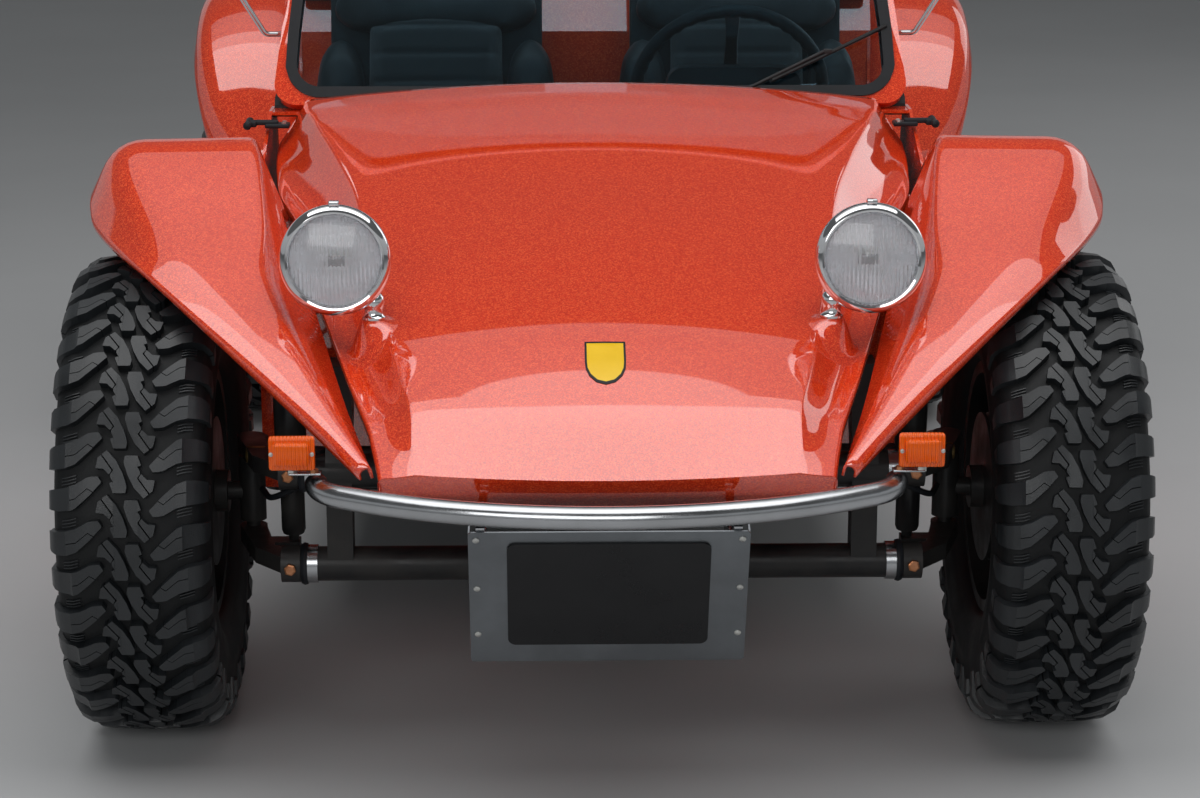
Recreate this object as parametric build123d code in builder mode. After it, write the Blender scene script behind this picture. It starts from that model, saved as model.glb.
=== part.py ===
from build123d import *
import math
import os

# Open two-seat dune buggy, a moulded body on the floor pan of a rear-engined saloon.
# Millimetres. The car faces -Y, +X is its left side, +Z is up. The origin is on the floor
# under the middle of the car. Side elevations are given as distances behind the front axle.

# Driving dimensions
wheelbase = 2032
front_axle_y = -998
rear_axle_y = front_axle_y + wheelbase
axle_z = 381
front_track = 1420
rear_track = 1450
kingpin_offset = 150
kingpin_x = front_track / 2 - kingpin_offset

# Tyres: radius to the lug tips and to the tread between the lugs
tyre_radius = 381
tyre_width = 240
tread_radius = 366
bead_radius = 191.5
tyre_sides = 28
lugs_per_side = 14
lug_length = 68

# Rims and hubs
rim_radius = 190
rim_lip_radius = 203
rim_width = 180
spindle_radius = 15
running_clearance = 0.05
drum_radius = 120
rim_holes = 8
rim_hole_radius = 19
rim_hole_circle = 144

# Body shell
shell = 5
tub_half_width = 590
floor_z = 250
firewall_y = 470
bulkhead_y = 1450
sill_z = 622
deck_z = 1005
deck_end_y = 2080
hood_gap = 8
seat_gap = 0.3

# Front beam
beam_y = -170
beam_tube_radius = 27
beam_lower_z = 311
beam_upper_z = 461
arm_width = 30
arm_head_x = kingpin_x - 75
beam_half_length = arm_head_x - arm_width / 2 - seat_gap
shock_x = kingpin_x - 72
shock_radius = 19
shock_cover_radius = 25
shock_pin_radius = 9
tower_x = shock_x - 81

# Hood hinge
hinge_y = -470
hinge_z = 530
hinge_pin_radius = 6

# Windscreen, measured in its own plane from the base line
screen_base_y = 780
screen_base_z = 885
screen_lean = 25
screen_height = 502

# Front bumper and plate holder
bumper_radius = 17
bumper_z = 535
bumper_front_y = -676
bumper_back_y = -566
bumper_back_x = 375
bumper_end_y = -500
bumper_bar_x = 180
holder_width = 394
holder_height = 250
holder_top_y = -636
holder_top_z = 503
holder_tilt = 25
holder_sheet = 2.5

# Steering
wheel_centre_x = 268
wheel_centre_y = 985
wheel_centre_z = 884
wheel_rim_radius = 190
wheel_tube_radius = 13
column_angle = 25
column_radius = 16
steering_arm_length = 120
track_rod_z = 410
track_rod_radius = 11

# Seats
seat_centre_x = 303
seat_width = 490
cushion_width = 440

os.makedirs("parts", exist_ok=True)


def row_y(distance):
    """Turns a distance behind the front axle into Y."""
    return front_axle_y + distance


def cross_plane(distance):
    """The upright plane across the car at a distance behind the front axle."""
    return Plane.XZ.offset(-row_y(distance))


def side_profile(points):
    """A face in the side elevation, from points of distance behind the axle and height."""
    with BuildLine() as edge:
        Polyline(*[(row_y(y), z) for y, z in points], close=True)
    make_face(edge.edges())


def panel_loft(stations, outline):
    """Lofts a panel through its closed outlines at the stations."""
    sections = []
    for distance, *sizes in stations:
        with BuildSketch(cross_plane(distance)) as section:
            with BuildLine():
                Polyline(*outline(*sizes), close=True)
            make_face()
        sections.append(section.sketch)
    loft(sections, ruled=True)


def save(builder, name):
    builder.part.label = name
    export_step(builder.part, f"parts/{name}.step")


sides = (("left", 1), ("right", -1))

column_start = (wheel_centre_x, row_y(wheel_centre_y), wheel_centre_z)
column_down = (0, -math.cos(math.radians(column_angle)), -math.sin(math.radians(column_angle)))


def column_plane(distance):
    """The plane square to the column at a distance down from the wheel's centre."""
    origin = tuple(start + distance * step for start, step in zip(column_start, column_down))
    return Plane(origin=origin, x_dir=(1, 0, 0), z_dir=column_down)

# Hood: rows of distance behind the axle, half width, edge height, shoulder half width,
# shoulder height and height on the centre line
hood_rows = (
    (748, 578, 818, 520, 903, 934),
    (640, 572, 812, 506, 897, 921),
    (400, 545, 795, 440, 858, 889),
    (250, 505, 776, 402, 824, 853),
    (0, 468, 740, 362, 764, 802),
    (-150, 430, 704, 338, 722, 759),
    (-300, 390, 654, 312, 676, 712),
    (-450, 346, 600, 282, 634, 647),
    (-556, 327, 556, 272, 562, 567),
)
hood_flange = 18
lip_back_y = -502
lip_low_z = 504
lamp_foot_x = 345
lamp_foot_y = -236
lamp_foot_z = 718
latch_y = 690
latch_z = 862
ear_x = 176
ear_width = 8


def hood_section(half, edge_z, shoulder_x, shoulder_z, crown_z):
    """The hood's closed section: flange, side, crown and back inside."""
    with BuildLine() as edge:
        Polyline(
            (shoulder_x, shoulder_z), (half, edge_z), (half - 2, edge_z - hood_flange),
            (half - 2 - shell, edge_z - hood_flange), (half - 3 - shell, edge_z - shell),
            (shoulder_x - 2, shoulder_z - shell),
        )
        Polyline(
            (-shoulder_x, shoulder_z), (-half, edge_z), (2 - half, edge_z - hood_flange),
            (2 + shell - half, edge_z - hood_flange), (3 + shell - half, edge_z - shell),
            (2 - shoulder_x, shoulder_z - shell),
        )
        ThreePointArc((-shoulder_x, shoulder_z), (0, crown_z), (shoulder_x, shoulder_z))
        ThreePointArc(
            (2 - shoulder_x, shoulder_z - shell), (0, crown_z - shell),
            (shoulder_x - 2, shoulder_z - shell),
        )
    make_face(edge.edges())


with BuildPart() as hood:
    for distance, *sizes in hood_rows:
        with BuildSketch(cross_plane(distance)):
            hood_section(*sizes)
    loft(ruled=True)
    nose_y, nose_half, nose_z = hood_rows[-1][0], hood_rows[-1][1], hood_rows[-1][2]
    with BuildSketch(Plane.YZ):
        side_profile((
            (nose_y, nose_z - hood_flange + shell), (nose_y, nose_z), (nose_y + shell, nose_z),
            (nose_y + shell, nose_z - hood_flange + shell), (lip_back_y + shell, lip_low_z),
            (lip_back_y, lip_low_z),
        ))
    extrude(amount=nose_half - 8, both=True)
    # Hinge ears under the nose, each with a bore for the pin
    for side in (1, -1):
        with BuildSketch(Plane.YZ.offset(side * ear_x - ear_width / 2)):
            side_profile((
                (hinge_y - 14, hinge_z), (hinge_y - 14, hinge_z + 70), (hinge_y - 30, 620),
                (hinge_y + 60, 655), (hinge_y + 14, hinge_z + 30), (hinge_y + 14, hinge_z),
            ))
            with Locations((row_y(hinge_y), hinge_z)):
                Circle(14)
                Circle(hinge_pin_radius + running_clearance, mode=Mode.SUBTRACT)
        extrude(amount=ear_width)
        # Moulded pod under the headlamp's foot and pad under the latch
        with BuildSketch(Plane.XY.offset(lamp_foot_z)):
            with Locations((side * lamp_foot_x, row_y(lamp_foot_y))):
                Circle(22)
        extrude(amount=-36, taper=-18)
        with BuildSketch(Plane.XY.offset(latch_z - seat_gap)):
            with Locations((side * 556, row_y(latch_y))):
                Rectangle(22, 26)
        extrude(amount=-40)
save(hood, "hood")

# Front fenders: rows of distance behind the axle, X and Z of the edge beside the hood, the
# ridge, the top's middle and the outer edge, then the lip's depth, small over the steered tyre
fender_lip = 32
front_fender_rows = (
    (-540, 335, 556, 338, 571, 343, 571, 351, 566, 10),
    (-390, 372 + hood_gap, 622, 425, 655, 452, 656, 482, 650, 16),
    (-160, 427 + hood_gap, 700, 523, 773, 600, 780, 686, 776, 12),
    (60, 476 + hood_gap, 748, 542, 888, 680, 893, 802, 874, fender_lip),
    (150, 490 + hood_gap, 762, 556, 925, 690, 929, 812, 906, fender_lip),
    (300, 518 + hood_gap, 782, 572, 922, 690, 924, 815, 900, fender_lip),
    (430, 552 + hood_gap, 796, 585, 884, 690, 872, 813, 842, fender_lip),
    (480, tub_half_width + seat_gap, 812, 598, 838, 690, 806, 808, 778, fender_lip),
    (560, tub_half_width + seat_gap, 700, 598, 716, 690, 676, 786, 652, fender_lip),
    (660, tub_half_width + seat_gap, 616, 598, 624, 660, 616, 712, 604, fender_lip),
)


def front_fender_section(side):
    def outline(edge_x, edge_z, ridge_x, ridge_z, top_x, top_z, outer_x, outer_z, lip):
        wall = shell - 1
        points = (
            (edge_x, edge_z), (ridge_x, ridge_z), (top_x, top_z), (outer_x, outer_z),
            (outer_x, outer_z - lip), (outer_x - wall, outer_z - lip),
            (outer_x - wall, outer_z - wall), (top_x, top_z - wall),
            (ridge_x + wall, ridge_z - wall), (edge_x + wall, edge_z),
        )
        return [(side * x, z) for x, z in points]
    return outline


for name, side in sides:
    with BuildPart() as front_fender:
        panel_loft(front_fender_rows, front_fender_section(side))
    save(front_fender, f"fender_front_{name}")

# Rear fenders: rows of distance behind the axle, top height, outer half width and
# the drop from the top to the widest point
rear_fender_rows = (
    (1440, 632, 690, 12),
    (1490, 765, 776, 60),
    (1560, 902, 815, 90),
    (1680, 985, 829, 110),
    (1850, 1012, 831, 115),
    (2080, 1002, 831, 115),
    (2280, 950, 829, 110),
    (2410, 880, 822, 95),
    (2500, 800, 810, 80),
)
rear_fender_inner_x = tub_half_width + seat_gap
tail_panel_low_z = 585
lamp_x = 718
lamp_z = 705


def rear_fender_section(side):
    def outline(top_z, outer_x, drop):
        inner_x = rear_fender_inner_x
        points = (
            (inner_x, top_z - 6), (outer_x - 90, top_z), (outer_x - 24, top_z - 0.3 * drop),
            (outer_x, top_z - drop), (outer_x - 4, top_z - drop - fender_lip),
            (outer_x - 4 - shell, top_z - drop - fender_lip), (outer_x - shell, top_z - drop - 1),
            (outer_x - 24 - shell, top_z - 0.3 * drop - shell + 1), (outer_x - 90, top_z - shell),
            (inner_x, top_z - 6 - shell),
        )
        return [(side * x, z) for x, z in points]
    return outline


for name, side in sides:
    with BuildPart() as rear_fender:
        panel_loft(rear_fender_rows, rear_fender_section(side))
        tail_y, tail_z, tail_x, tail_drop = rear_fender_rows[-1]
        with BuildSketch(cross_plane(tail_y)):
            with BuildLine():
                Polyline(
                    (side * rear_fender_inner_x, tail_z - 8), (side * (tail_x - 90), tail_z - 2),
                    (side * (tail_x - 26), tail_z - 0.3 * tail_drop - 2),
                    (side * (tail_x - 3), tail_z - tail_drop), (side * (tail_x - 30), tail_panel_low_z),
                    (side * rear_fender_inner_x, tail_panel_low_z), close=True,
                )
            make_face()
        extrude(amount=shell)
    save(rear_fender, f"fender_rear_{name}")

tunnel_half_width = 70
tunnel_top_z = 372
tunnel_chamfer = 30


def tunnel_outline(clearance):
    """The backbone's section, grown on all sides by a clearance."""
    low_z = floor_z - 6 - clearance
    foot_x = tunnel_half_width + 14 + clearance
    side_x = tunnel_half_width + clearance
    high_z = tunnel_top_z + clearance
    with BuildLine() as edge:
        Polyline(
            (-foot_x, low_z), (-side_x, high_z - tunnel_chamfer), (-side_x + tunnel_chamfer, high_z),
            (side_x - tunnel_chamfer, high_z), (side_x, high_z - tunnel_chamfer), (foot_x, low_z),
            close=True,
        )
    make_face(edge.edges())


# Tub: side walls, firewall, rear bulkhead and the deck behind the seats, open below
cowl_top_z = 880
scuttle_z = 878.8
deck_pad_half_width = 330
deck_pad_front_y = 1560
deck_pad_back_y = 1860
deck_pad_rise = 4
with BuildPart() as body_tub:
    with BuildSketch(Plane.YZ):
        side_profile((
            (firewall_y, floor_z), (firewall_y, 772), (screen_base_y - 14, cowl_top_z),
            (screen_base_y + 60, cowl_top_z), (screen_base_y + 92, 840), (screen_base_y + 118, 720),
            (screen_base_y + 170, sill_z + 22), (screen_base_y + 250, sill_z), (1320, sill_z - 6),
            (1390, sill_z + 24), (1432, 720), (bulkhead_y, 940), (bulkhead_y + 30, deck_z),
            (deck_end_y, deck_z), (2280, 944), (2410, 872), (2440, 700), (2300, 560),
            (1640, 500), (1560, 440), (1500, floor_z),
        ))
    extrude(amount=tub_half_width, both=True)
    with BuildSketch(Plane.YZ):
        side_profile((
            (firewall_y + shell, floor_z - 50), (firewall_y + shell, deck_z + 100),
            (bulkhead_y, deck_z + 100), (bulkhead_y, floor_z - 50),
        ))
        side_profile((
            (bulkhead_y + shell, floor_z - 50), (bulkhead_y + shell, 938),
            (bulkhead_y + 33, deck_z - shell), (deck_end_y, deck_z - shell),
            (deck_end_y, deck_z + 100), (2500, deck_z + 100), (2500, floor_z - 50),
        ))
    extrude(amount=tub_half_width - shell - 1, both=True, mode=Mode.SUBTRACT)
    # Raised luggage panel on the deck, inside the roll bar's feet
    with BuildSketch(Plane.XY.offset(deck_z - shell)):
        with Locations((0, row_y((deck_pad_front_y + deck_pad_back_y) / 2))):
            Rectangle(2 * deck_pad_half_width, deck_pad_back_y - deck_pad_front_y)
    extrude(amount=shell + deck_pad_rise)
    # Scuttle panel under the windscreen
    with BuildSketch(Plane.YZ):
        side_profile((
            (762, scuttle_z - 6), (762, scuttle_z), (812 - seat_gap, scuttle_z),
            (812 - seat_gap, scuttle_z - 6)))
    extrude(amount=tub_half_width - shell, both=True)
    # Ways through for the steering column and for the backbone
    with BuildSketch(column_plane(500)):
        Circle(column_radius + seat_gap)
    extrude(amount=160, mode=Mode.SUBTRACT)
    with BuildSketch(cross_plane(bulkhead_y + 20)):
        tunnel_outline(seat_gap)
    extrude(amount=bulkhead_y - firewall_y + 40, mode=Mode.SUBTRACT)
    fillet(
        body_tub.edges().filter_by(Axis.X).filter_by(
            lambda e: abs(e.center().Z - cowl_top_z) < 1 and e.center().Y > row_y(screen_base_y)), 25)
save(body_tub, "body_tub")

# Floor pan with its backbone and the frame head that carries the front beam
pan_thickness = 6
with BuildPart() as floor_pan:
    with BuildSketch(Plane.XY.offset(floor_z - 0.3 - pan_thickness)):
        with Locations((0, row_y((firewall_y + 1500) / 2))):
            RectangleRounded(2 * tub_half_width, 1500 - firewall_y, 30)
    extrude(amount=pan_thickness)
    with BuildSketch(cross_plane(1600)):
        tunnel_outline(0)
    extrude(amount=1600 - beam_y - beam_tube_radius - 24)
    # Stamped stiffening ribs along the pan
    for side in (1, -1):
        with BuildSketch(Plane.XY.offset(floor_z - pan_thickness - 8)):
            with Locations(*[(side * x, row_y(985)) for x in (180, 320, 460)]):
                SlotOverall(900, 40, rotation=90)
        extrude(amount=9)
save(floor_pan, "floor_pan")

# Front beam: two tubes, frame head plates and the shock towers
shock_head_y = -108
shock_head_z = 590
with BuildPart() as front_beam:
    for z in (beam_lower_z, beam_upper_z):
        with BuildSketch(Plane.YZ.offset(-beam_half_length)):
            with Locations((row_y(beam_y), z)):
                Circle(beam_tube_radius)
        extrude(amount=2 * beam_half_length)
    for x in (-72, -24, 24, 72):
        with BuildSketch(Plane.YZ.offset(x - 4)):
            side_profile((
                (beam_y - 20, 300), (beam_y - 20, 470), (beam_y + 44, 490),
                (beam_y + 50.7, 372), (beam_y + 50.7, 262), (beam_y + 10, 280),
            ))
        extrude(amount=8)
    for side in (1, -1):
        with BuildSketch(Plane.YZ.offset(side * tower_x - 20)):
            side_profile((
                (beam_y - 24, 300), (beam_y - 24, 480), (beam_y + 30, 620), (beam_y + 92, 620),
                (beam_y + 92, 585), (beam_y + 24, 470), (beam_y + 24, 300),
            ))
        extrude(amount=40)
        # Pin that carries the shock's top eye
        with BuildSketch(Plane.YZ.offset(side * tower_x)):
            with Locations((row_y(shock_head_y), shock_head_z + shock_pin_radius + seat_gap)):
                Circle(shock_pin_radius)
        extrude(amount=side * (shock_x + 26 - tower_x))
save(front_beam, "front_beam")

# Trailing arms: an upper and a lower one each side, with a kingpin between their eyes
arm_thickness = 26
arm_head_radius = 29
kingpin_radius = 11
kingpin_eye_radius = 22
knuckle_low_z = 334
knuckle_high_z = 440
shock_foot_y = -84
shock_stud_z = beam_lower_z + arm_thickness / 2
with BuildPart() as front_arms:
    for side in (1, -1):
        inner_x = arm_head_x - arm_width / 2
        outer_x = arm_head_x + arm_width / 2
        for z in (beam_lower_z, beam_upper_z):
            with BuildSketch(Plane.YZ.offset(side * inner_x)):
                with Locations((row_y(beam_y), z)):
                    Circle(arm_head_radius)
            extrude(amount=side * arm_width)
            with BuildSketch(Plane.XY.offset(z - arm_thickness / 2)):
                with BuildLine():
                    Polyline(*[(side * x, row_y(y)) for x, y in (
                        (inner_x, beam_y), (outer_x, beam_y - 10), (kingpin_x - 14, -124),
                        (kingpin_x + 20, -10), (kingpin_x - 18, 12), (kingpin_x - 44, -112),
                        (inner_x, beam_y + 24),
                    )], close=True)
                make_face()
                with Locations((side * kingpin_x, row_y(0))):
                    Circle(kingpin_eye_radius)
            extrude(amount=arm_thickness)
        with BuildSketch(Plane.XY.offset(beam_lower_z)):
            with Locations((side * kingpin_x, row_y(0))):
                Circle(kingpin_radius)
        extrude(amount=beam_upper_z - beam_lower_z)
        # Lug on the lower arm for the shock's foot
        with BuildSketch(Plane.XY.offset(beam_lower_z - arm_thickness / 2)):
            with Locations((side * (shock_x + 22), row_y(shock_foot_y))):
                Rectangle(64, 34)
        extrude(amount=arm_thickness)
save(front_arms, "front_arms")

# Knuckles: a boss on the kingpin, the spindle, a backing plate and the steering arm
backing_plate_x = 92
for name, side in sides:
    with BuildPart() as knuckle:
        with BuildSketch(Plane.XY.offset(knuckle_low_z)):
            with Locations((side * kingpin_x, row_y(0))):
                Circle(21)
        extrude(amount=knuckle_high_z - knuckle_low_z)
        with BuildSketch(Plane.YZ.offset(side * kingpin_x)):
            with Locations((row_y(0), axle_z)):
                Circle(spindle_radius)
        extrude(amount=side * (front_track / 2 + 40 - kingpin_x))
        with BuildSketch(Plane.YZ.offset(side * (front_track / 2 - backing_plate_x - 20))):
            with Locations((row_y(0), axle_z)):
                Circle(34)
        extrude(amount=side * 21)
        with BuildSketch(Plane.YZ.offset(side * (front_track / 2 - backing_plate_x))):
            with Locations((row_y(0), axle_z)):
                Circle(drum_radius)
        extrude(amount=side * 5)
        # Steering arm, its eye flat on the track rod's eye
        with BuildSketch(Plane.XY.offset(track_rod_z + track_rod_radius + 3 + seat_gap)):
            with BuildLine():
                Polyline(
                    (side * (kingpin_x - 20), row_y(0)),
                    (side * (kingpin_x - 13), row_y(steering_arm_length)),
                    (side * (kingpin_x + 13), row_y(steering_arm_length)),
                    (side * (kingpin_x + 20), row_y(0)), close=True,
                )
            make_face()
            with Locations((side * kingpin_x, row_y(steering_arm_length))):
                Circle(15)
        extrude(amount=15)
        with BuildSketch(Plane.XY.offset(knuckle_low_z)):
            with Locations((side * kingpin_x, row_y(0))):
                Circle(kingpin_radius + running_clearance)
        extrude(amount=knuckle_high_z - knuckle_low_z, mode=Mode.SUBTRACT)
    save(knuckle, f"knuckle_{name}")

# Track rod between the two steering arms
with BuildPart() as track_rod:
    with BuildSketch(Plane.YZ.offset(-kingpin_x)):
        with Locations((row_y(steering_arm_length), track_rod_z)):
            Circle(track_rod_radius)
    extrude(amount=2 * kingpin_x)
    with BuildSketch(Plane.XY.offset(track_rod_z - track_rod_radius - 3)):
        with Locations(*[(side * kingpin_x, row_y(steering_arm_length)) for side in (1, -1)]):
            Circle(16)
    extrude(amount=2 * track_rod_radius + 6)
save(track_rod, "track_rod")

# Steering box on the upper beam tube, with its column
column_reach = 1010
wheel_hub_end = 19
with BuildPart() as steering_gear:
    with BuildSketch(column_plane(30)):
        Circle(column_radius)
    extrude(amount=column_reach - 30)
    with BuildSketch(column_plane(wheel_hub_end + seat_gap)):
        Circle(12)
    extrude(amount=12)
    with BuildSketch(column_plane(46)):
        Circle(30)
    extrude(amount=50)
    with BuildSketch(Plane.YZ.offset(wheel_centre_x - 40)):
        side_profile((
            (beam_y + 40, 430), (beam_y + 40, 498), (beam_y + 120, 520), (100, 500), (100, 440),
            (40, 426),
        ))
    extrude(amount=80)
    with BuildSketch(Plane.YZ.offset(wheel_centre_x - 30)):
        with Locations((row_y(beam_y), beam_upper_z)):
            Circle(beam_tube_radius + 11)
        side_profile((
            (beam_y, beam_upper_z - 20), (beam_y, beam_upper_z + 30), (beam_y + 60, 490), (beam_y + 60, 440)))
        with Locations((row_y(beam_y), beam_upper_z)):
            Circle(beam_tube_radius + seat_gap, mode=Mode.SUBTRACT)
    extrude(amount=60)
save(steering_gear, "steering_gear")

# Steering wheel: rim, hub and three spokes
with BuildPart() as steering_wheel:
    with BuildSketch(Plane(origin=column_start, x_dir=column_down, z_dir=(1, 0, 0))):
        with Locations((0, wheel_rim_radius - wheel_tube_radius)):
            RegularPolygon(wheel_tube_radius, 10)
    revolve(axis=Axis(column_start, column_down))
    with BuildSketch(column_plane(-8)):
        Circle(38)
    extrude(amount=22)
    for angle in (0, 180, 270):
        with BuildSketch(column_plane(-3)):
            with PolarLocations(0, 1, start_angle=angle):
                with Locations((wheel_rim_radius / 2 - 6, 0)):
                    Rectangle(wheel_rim_radius - 28, 30)
        extrude(amount=5)
    with BuildSketch(column_plane(14)):
        Circle(20)
    extrude(amount=wheel_hub_end - 14)
save(steering_wheel, "steering_wheel")

# Windscreen: frame, rubber, glass. Rows of height up the screen and half width
lean = math.radians(screen_lean)
frame_outer_rows = ((0, 586), (60, 578), (206, 561), (screen_height, 533))
rubber_outer_rows = ((14, 544), (72, 560), (140, 556), (206, 549), (screen_height - 26, 512))
frame_depth = 28
rubber_width = 20
rubber_depth = 36
glass_thickness = 6


def screen_plane(forward):
    """The windscreen's plane, moved towards the front of the car."""
    base = Plane(
        origin=(0, row_y(screen_base_y), screen_base_z), x_dir=(1, 0, 0),
        z_dir=(0, -math.cos(lean), math.sin(lean)),
    )
    return base.offset(forward)


def mirrored_outline(rows, inset, radius):
    """A face that is alike left and right, from rows of height and half width."""
    with BuildSketch(mode=Mode.PRIVATE) as outline:
        with BuildLine():
            Polyline(*[(x, v) for v, x in rows], *[(-x, v) for v, x in reversed(rows)], close=True)
        make_face()
        corners = outline.vertices().sort_by(Axis.Y)
        fillet(corners[:2] + corners[-2:], radius)
        if inset:
            offset(amount=-inset, mode=Mode.REPLACE)
    return outline.sketch


with BuildPart() as windscreen_frame:
    with BuildSketch(screen_plane(-frame_depth / 2)):
        add(mirrored_outline(frame_outer_rows, 0, 40))
        add(mirrored_outline(rubber_outer_rows, -seat_gap, 62), mode=Mode.SUBTRACT)
    extrude(amount=frame_depth)
save(windscreen_frame, "windscreen_frame")

with BuildPart() as windscreen_rubber:
    with BuildSketch(screen_plane(-rubber_depth / 2)):
        add(mirrored_outline(rubber_outer_rows, 0, 62))
        add(mirrored_outline(rubber_outer_rows, rubber_width, 62), mode=Mode.SUBTRACT)
    extrude(amount=rubber_depth)
save(windscreen_rubber, "windscreen_rubber")

with BuildPart() as windscreen_glass:
    with BuildSketch(screen_plane(-glass_thickness / 2)):
        add(mirrored_outline(rubber_outer_rows, rubber_width + seat_gap, 62))
    extrude(amount=glass_thickness)
save(windscreen_glass, "windscreen_glass")

# Wiper on the driver's side: spindle, arm and blade, laid on the glass
wiper_pivot = (392, 26)
wiper_blade_ends = ((292, 60), (512, 132))
with BuildPart() as wiper:
    with BuildSketch(screen_plane(rubber_depth / 2 + seat_gap)):
        with Locations(wiper_pivot):
            Circle(15)
    extrude(amount=16)
    blade_middle = tuple(sum(values) / 2 for values in zip(*wiper_blade_ends))
    with BuildSketch(screen_plane(rubber_depth / 2 + 6)):
        with BuildLine():
            Line(wiper_pivot, blade_middle)
            offset(amount=5)
        make_face()
    extrude(amount=7)
    with BuildSketch(screen_plane(glass_thickness / 2 + seat_gap)):
        with BuildLine():
            Line(*wiper_blade_ends)
            offset(amount=4)
        make_face()
    extrude(amount=rubber_depth / 2 + 10)
save(wiper, "wiper")

# Mirrors: a round head on a bent rod from each windscreen pillar
mirror_rod_radius = 5
mirror_head_radius = 62
mirror_points = ((571.6, 838, 1012), (598, 822, 1014), (640, 806, 1086), (664, 802, 1160))
with BuildPart() as mirrors:
    for side in (1, -1):
        route = [(side * x, row_y(y), z) for x, y, z in mirror_points]
        with BuildLine() as rod_line:
            FilletPolyline(*route, radius=14)
        with BuildSketch(rod_line.line ^ 0):
            Circle(mirror_rod_radius)
        sweep(path=rod_line.line)
        head_plane = Plane(
            origin=(side * 676, row_y(798), 1168), x_dir=(1, 0, 0), z_dir=(0, 1, -0.08))
        with BuildSketch(head_plane.offset(-8)):
            Circle(mirror_head_radius - 16)
        with BuildSketch(head_plane.offset(8)):
            Circle(mirror_head_radius)
        loft()
        with BuildSketch(head_plane.offset(8)):
            Circle(mirror_head_radius)
        extrude(amount=9)
save(mirrors, "mirrors")

# Dashboard behind the windscreen
dash_half_width = tub_half_width - shell - 1 - seat_gap
with BuildPart() as dashboard:
    with BuildSketch(Plane.YZ):
        side_profile((
            (830, 860), (812, 868), (812, 884), (822, 896), (862, 904), (880, 892), (874, 866)))
    extrude(amount=dash_half_width, both=True)
    fillet(dashboard.edges().filter_by(Axis.X).sort_by(Axis.Z)[-2:], 6)
    # Two round dials in a cowl in front of the driver
    with BuildSketch(cross_plane(900)):
        with Locations((wheel_centre_x, 912)):
            SlotOverall(250, 66)
    extrude(amount=40)
save(dashboard, "dashboard")

# Seats: a cushion and a back with side bolsters and a head section, on two runners
seat_rise = 42
for name, side in sides:
    centre = side * seat_centre_x
    with BuildPart() as seat:
        with BuildSketch(Plane.YZ.offset(centre - cushion_width / 2)):
            side_profile((
                (720, 350), (732, 400), (780, 412), (1150, 372), (1190, 440), (1330, 1010),
                (1344, 1150), (1372, 1172), (1408, 1150), (1404, 1010), (1320, 560), (1262, 330),
                (1180, floor_z + seat_rise), (760, floor_z + seat_rise + 20),
            ))
        extrude(amount=cushion_width)
        # Bolsters beside the cushion and the back
        for edge in (1, -1):
            bolster_x = centre + edge * (cushion_width / 2 - 36)
            with BuildSketch(Plane.YZ.offset(bolster_x)):
                side_profile((
                    (760, 380), (800, 446), (1100, 430), (1140, 520), (1258, 940), (1312, 980),
                    (1330, 700), (1254, 380), (900, 378),
                ))
            extrude(amount=edge * (36 + (seat_width - cushion_width) / 2))
        for x in (centre - 150, centre + 150):
            with BuildSketch(Plane.YZ.offset(x - 14)):
                side_profile((
                    (790, floor_z), (790, floor_z + seat_rise + 40), (1150, floor_z + seat_rise + 20),
                    (1170, floor_z)))
            extrude(amount=28)
    save(seat, f"seat_{name}")

# Gear lever and handbrake on the backbone
with BuildPart() as levers:
    lever_foot = (0, row_y(690), tunnel_top_z + seat_gap)
    with BuildSketch(Plane(origin=lever_foot)):
        Circle(34)
    extrude(amount=12)
    with BuildSketch(Plane(origin=lever_foot).offset(6)):
        Circle(7)
    with BuildSketch(Plane(origin=(0, row_y(750), 600))):
        Circle(7)
    loft()
    with BuildSketch(cross_plane(750)):
        with BuildLine():
            Polyline((0, 594), (12, 597), (19, 607), (19, 620), (12, 631), (0, 634), close=True)
        make_face()
    revolve(axis=Axis((0, row_y(750), 600), (0, 0, 1)))
    with BuildSketch(Plane.YZ.offset(-13)):
        side_profile((
            (930, tunnel_top_z + seat_gap), (920, 396), (800, 448), (804, 470), (930, 420),
            (1010, 390), (1010, tunnel_top_z + seat_gap)))
    extrude(amount=26)
save(levers, "levers")

# Roll bar: a bent hoop behind the seats with two stays to the deck
roll_radius = 24
roll_half_width = 530
roll_top_z = 1350
roll_y = 1500
roll_foot = 6
with BuildPart() as roll_bar:
    hoop = [
        (-roll_half_width, row_y(roll_y), deck_z + roll_foot),
        (-roll_half_width + 26, row_y(roll_y), roll_top_z),
        (roll_half_width - 26, row_y(roll_y), roll_top_z),
        (roll_half_width, row_y(roll_y), deck_z + roll_foot),
    ]
    with BuildLine() as hoop_line:
        FilletPolyline(*hoop, radius=150)
    with BuildSketch(hoop_line.line ^ 0):
        Circle(roll_radius)
    sweep(path=hoop_line.line)
    for side in (1, -1):
        stay_top = (side * 430, row_y(roll_y + 6), roll_top_z - 22)
        stay_foot = (side * 430, row_y(roll_y + 420), deck_z + 4)
        stay_way = tuple(b - a for a, b in zip(stay_top, stay_foot))
        with BuildSketch(Plane(origin=stay_top, x_dir=(1, 0, 0), z_dir=stay_way)):
            Circle(roll_radius - 5)
        extrude(amount=math.hypot(*stay_way))
        with BuildSketch(Plane.XY.offset(deck_z + seat_gap)):
            with Locations((side * roll_half_width, row_y(roll_y)), (side * 430, row_y(roll_y + 420))):
                RectangleRounded(96, 110, 12)
        extrude(amount=roll_foot)
    split(bisect_by=Plane.XY.offset(deck_z + seat_gap), keep=Keep.TOP)
save(roll_bar, "roll_bar")

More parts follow.
